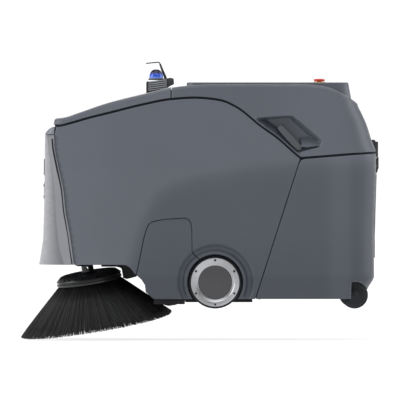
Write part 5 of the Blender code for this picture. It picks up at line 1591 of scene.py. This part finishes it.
def strands(paths, width, taper, seed, sides=3):
    """Many thin tapered filaments. paths: array (strand, point, xyz)."""
    n, m, _ = paths.shape
    rng = np.random.default_rng(seed)
    d = np.gradient(paths, axis=1)
    d /= np.linalg.norm(d, axis=2)[..., None]
    ref = np.array([0.31, 0.17, 0.05]) + np.array([0, 0, 1.0])
    u = np.cross(d, np.cross(ref, d))
    u = np.cross(d, ref)
    u /= np.linalg.norm(u, axis=2)[..., None]
    v = np.cross(d, u)
    spin = rng.uniform(0, 2 * math.pi, n)
    w = width * rng.uniform(0.8, 1.2, n)[:, None] * np.linspace(1.0, taper, m)[None, :] * 0.5
    verts = np.zeros((n, m, sides, 3))
    for k in range(sides):
        a = spin + 2 * math.pi * k / sides
        verts[:, :, k] = paths + (u * np.cos(a)[:, None, None] + v * np.sin(a)[:, None, None]) * w[..., None]
    verts = verts.reshape(-1, 3)
    faces = []
    for s in range(n):
        b = s * m * sides
        for i in range(m - 1):
            for k in range(sides):
                k2 = (k + 1) % sides
                faces.append((b + i * sides + k, b + i * sides + k2, b + (i + 1) * sides + k2, b + (i + 1) * sides + k))
        faces.append(tuple(b + k for k in reversed(range(sides))))
        faces.append(tuple(b + (m - 1) * sides + k for k in range(sides)))
    tone = np.repeat(rng.uniform(0, 1, n) ** 2.2, m * sides)
    return verts, faces, tone


def make_strands(name, verts, faces, tone, **kw):
    me = bpy.data.meshes.new(name)
    me.from_pydata((verts / 1000.0).tolist(), [], faces)
    at = me.attributes.new("strand", "FLOAT", "POINT")
    at.data.foreach_set("value", tone.astype(np.float32))
    me.materials.append(BRISTLE)
    ob = bpy.data.objects.new(name, me)
    bpy.context.scene.collection.objects.link(ob)
    ob.data.shade_smooth()
    place(ob, **kw)
    return ob


def side_brush(side, tag):
    up, tip = brush_axes(side)
    rng = np.random.default_rng(71 if side < 0 else 72)
    U = np.array(up)
    A = np.array(up.orthogonal().normalized())
    B = np.cross(U, A)
    T = np.array(tip)
    # tufts: 34 clumps, each fanned strands in four layers from the skirt's inside to its outside
    tufts, per = 34, 17
    all_paths = []
    for layer, (r0, r1, h1) in enumerate(((79.4, 197.6, 0.5), (77.4, 194.5, 0.9), (75.0, 190.0, 3.0), (71.5, 182.0, 7.0))):
        n = tufts * per
        k = np.repeat(np.arange(tufts), per)
        f = np.tile((np.arange(per) + 0.5) / per - 0.5, tufts) + rng.normal(0, 0.012, n)
        centre = (k + 0.27 * layer) * 2 * math.pi / tufts
        pitch = 2 * math.pi / tufts
        jit = rng.normal(0, 1, (n, 3))
        pts = np.zeros((n, 5, 3))
        for i, t in enumerate((0.0, 0.3, 0.6, 0.84, 1.0)):
            squeeze = 1.0 - (0.055 if layer < 2 else 0.02) * t ** 3
            ang = centre + f * pitch * squeeze + jit[:, 0] * 0.004 * t
            bow = 1.3 * math.sin(math.pi * t)
            r = r0 + (r1 - r0) * t + bow + jit[:, 1] * 0.9 * t
            if layer == 0:
                r = np.minimum(r, 197.9)
            h = BRUSH_DROP - 0.4 - (BRUSH_DROP - 0.4 - h1) * t
            h = h + np.abs(jit[:, 2]) * 1.2 * t ** 4
            pts[:, i] = T + U * h[:, None] + (A * np.cos(ang)[:, None] + B * np.sin(ang)[:, None]) * r[:, None]
        all_paths.append(pts)
    P = np.vstack(all_paths)
    v, f, tone = strands(P, 2.35, 0.62, 5, 3)
    v[:, 2] = np.maximum(v[:, 2], 0.15)
    # a dark inner skirt that stops short of the tips closes the view between strands
    prof = [(66, BRUSH_DROP - 0.6), (72, BRUSH_DROP - 0.6), (72 + 78, 34.0), (72 + 74, 34.0)]
    cone = lathe([(r, h) for r, h in prof], 96, tuple(tip), tuple(up))
    n = len(v)
    v = np.vstack([v, np.array(cone[0])])
    f = list(f) + [tuple(i + n for i in q) for q in cone[1]]
    tone = np.concatenate([tone, np.zeros(len(cone[0]))])
    make_strands("side_brush_tufts_" + tag, v, f, tone, node="side_brush_bristles_" + tag)
    # plate with its ring of tuft holes and the drive hub
    root = tip + up * BRUSH_DROP
    prof = [(0, 0.2), (80.0, 0.2), (82.6, 0.8), (83.8, 2.4), (83.8, 6.4), (82.6, 8.0), (80.8, 8.8), (80.8, 10.4), (82.8, 11.2), (84.0, 12.8),
            (84.0, 13.6), (83.4, 14.8), (73.2, 24.0), (71.8, 24.8), (69.0, 25.0), (26, 25.0), (23, 25.6), (20.0, 27.4), (17.0, 28.8),
            (14.2, 29.4), (14.0, 31.0), (14.0, 45.0), (13.2, 46.0), (0, 46.0)]
    v, f = lathe(prof, 144, tuple(root), tuple(up))
    ob = make("side_brush_disc_" + tag, v, f, PLATE, node="side_brush_plate_" + tag, angle=30)
    holes = []
    for k in range(26):
        a = 2 * math.pi * (k + 0.5) / 26
        d = Vector(A * math.cos(a) + B * math.sin(a))
        c = root + d * 78.4 + up * 19.3
        nrm = (d * 0.67 + up * 0.74).normalized()
        holes.append(rod(tuple(c - nrm * 6.0), tuple(c + nrm * 4.0), 2.7, 20))
    c = root + up * (25.0 + 13)
    holes.append(rod((c.x, c.y - 30, c.z), (c.x, c.y + 30, c.z), 3.3, 24))
    for k in range(3):
        a = 2 * math.pi * k / 3 + 0.4
        d = Vector(A * math.cos(a) + B * math.sin(a))
        c = root + d * 40 + up * 24
        holes.append(rod(tuple(c - up * 5), tuple(c + up * 5), 4.2, 24))
    cut(ob, holes, 30)
    heads = []
    for k in range(3):
        a = 2 * math.pi * k / 3 + 0.4
        d = Vector(A * math.cos(a) + B * math.sin(a))
        c = root + d * 40 + up * 20.6
        heads.append(lathe([(0, 0), (3.9, 0), (3.9, 2.6), (3.4, 3.1), (2.0, 3.1), (2.0, 1.4), (0, 1.4)], 24, tuple(c), tuple(up)))
    v, f = merge(heads)
    make("side_brush_screws_" + tag, v, f, STEEL, body="side_brush_" + tag, slot="steel", angle=35, weld=False)


for side, tag in SIDES:
    side_brush(side, tag)


for side, tag in SIDES:
    web = round_loop([(-257, 205.5), (-257, 188.9), (-218, 188.9), (-207, 186.4), (-200.6, 178), (-200.6, 205.5)], 1.2, 3)
    v, f = prism(web, side * 139.0, side * 151.7)
    make("carriage_web_" + tag, v, f, DARKP, body="brush_carriage_" + tag, slot="dark_plastic", angle=40)


# ---------------------------------------------------------------- roller brush: chevron rows of tufts on the core
def roller():
    rng = np.random.default_rng(19)
    paths = []
    rows, along = 10, 118
    for k in range(rows):
        for i in range(along):
            y = -246 + 492 * (i + 0.5) / along
            a = 2 * math.pi * k / rows + abs(y) / 246.0 * 0.9
            for j in range(4):
                da, dy = rng.normal(0, 0.035), rng.normal(0, 1.0)
                pts = []
                for t in (0.0, 0.5, 1.0):
                    r = 19.8 + (51.2 - 19.8 + rng.normal(0, 0.2)) * t
                    aa = a + da * (0.4 + t) + 0.04 * t * t
                    pts.append((ROLLER_X + r * math.cos(aa), y + dy * (0.3 + t), ROLLER_Z + r * math.sin(aa)))
                paths.append(pts)
    v, f, tone = strands(np.array(paths), 1.5, 0.7, 6, 3)
    # the tuft strips' root cylinder
    cyl = lathe([(20.3, -248), (24.0, -247.4), (24.6, -246), (24.6, 246), (24.0, 247.4), (20.3, 248)], 60, (ROLLER_X, 0, ROLLER_Z), (0, 1, 0))
    n = len(v)
    v = np.vstack([v, np.array(cyl[0])])
    f = list(f) + [tuple(i + n for i in q) for q in cyl[1]]
    tone = np.concatenate([tone, np.zeros(len(cyl[0]))])
    make_strands("roller_tufts", v, f, tone, node="roller_bristles")


roller()


# ---------------------------------------------------------------- smaller pieces whose CAD shape is right, with eased edges
for name, width in (("side_brush_carriage_left", 1.2), ("side_brush_carriage_right", 1.2), ("handle_guides", 1.0),
                    ("latch_lever", 0.8), ("pull_handle", 1.6), ("battery_pack", 4.0), ("controller_box", 2.0),
                    ("chassis_frame", 1.2), ("door_skirt_left", 0.8), ("door_skirt_right", 0.8), ("roller_motor", 0.8)):
    eased(name, width, 3)


# ---------------------------------------------------------------- floor, light and camera
def area(name, loc, size, power, target=(0, 0, 0.36), color=(1, 1, 1)):
    l = bpy.data.lights.new(name, "AREA")
    l.shape, l.size, l.size_y = "RECTANGLE", size[0], size[1]
    l.energy, l.color = power, color
    ob = bpy.data.objects.new(name, l)
    ob.location = loc
    ob.rotation_euler = (Vector(target) - Vector(loc)).to_track_quat("-Z", "Y").to_euler()
    bpy.context.scene.collection.objects.link(ob)
    return ob


def sun(name, towards, strength, angle):
    l = bpy.data.lights.new(name, "SUN")
    l.energy, l.angle = strength, math.radians(angle)
    ob = bpy.data.objects.new(name, l)
    ob.rotation_euler = (-Vector(towards)).to_track_quat("-Z", "Y").to_euler()
    bpy.context.scene.collection.objects.link(ob)
    return ob


sun("front_soft", (-0.92, -0.22, 0.42), 1.45, 45)
sun("rear_soft", (0.93, -0.04, 0.42), 1.0, 45)
sun("top_soft", (0.0, -0.45, 1.0), 1.15, 60)
sun("far_soft", (0.1, 0.8, 0.5), 0.5, 50)

world = bpy.data.worlds.new("studio")
bpy.context.scene.world = world
world.use_nodes = True
wt = world.node_tree
wco = wt.nodes.new("ShaderNodeTexCoord")
wsep = wt.nodes.new("ShaderNodeSeparateXYZ")
wabs = wt.nodes.new("ShaderNodeMath")
wabs.operation = "ABSOLUTE"
wmap = wt.nodes.new("ShaderNodeMapRange")
wmap.interpolation_type = "SMOOTHSTEP"
for k, q in zip(("From Min", "From Max", "To Min", "To Max"), (0.06, 0.30, 1.05, 0.34)):
    wmap.inputs[k].default_value = q
wt.links.new(wco.outputs["Generated"], wsep.inputs[0])
wt.links.new(wsep.outputs[2], wabs.inputs[0])
wt.links.new(wabs.outputs[0], wmap.inputs["Value"])
wt.links.new(wmap.outputs["Result"], wt.nodes["Background"].inputs["Strength"])
wt.nodes["Background"].inputs["Color"].default_value = (1, 1, 1, 1)

me = bpy.data.meshes.new("studio_floor")
F = 60.0
me.from_pydata([(-F, -F, -0.0015), (F, -F, -0.0015), (F, F, -0.0015), (-F, F, -0.0015)], [], [(0, 1, 2, 3)])
g = Graph("floor_pale")
tone = g.noise(0.8, 2.0)
me.materials.append(g.finish(g.mix(g.span(tone, 0.3, 0.7, 0, 1), (0.26, 0.26, 0.26, 1), (0.28, 0.28, 0.28, 1)), 0.9, Specular_IOR_Level=0.1,
                             Emission_Color=(1.0, 1.0, 1.0, 1.0), Emission_Strength=0.80))
floor = bpy.data.objects.new("studio_floor", me)
bpy.context.scene.collection.objects.link(floor)

cam = bpy.data.cameras.new("camera")
cam.type = "PERSP"
cam.sensor_fit = "HORIZONTAL"
cam.sensor_width = 36.0
DIST = 40.0
cam.lens = 36.0 * DIST / 1.04
cam.clip_end = 200.0
cam_ob = bpy.data.objects.new("camera", cam)
cam_ob.location = (0.0, -DIST - 0.2, 0.3627)
cam_ob.rotation_euler = (math.pi / 2, 0, 0)
bpy.context.scene.collection.objects.link(cam_ob)
bpy.context.scene.camera = cam_ob
bpy.context.scene.view_settings.view_transform = "Standard"
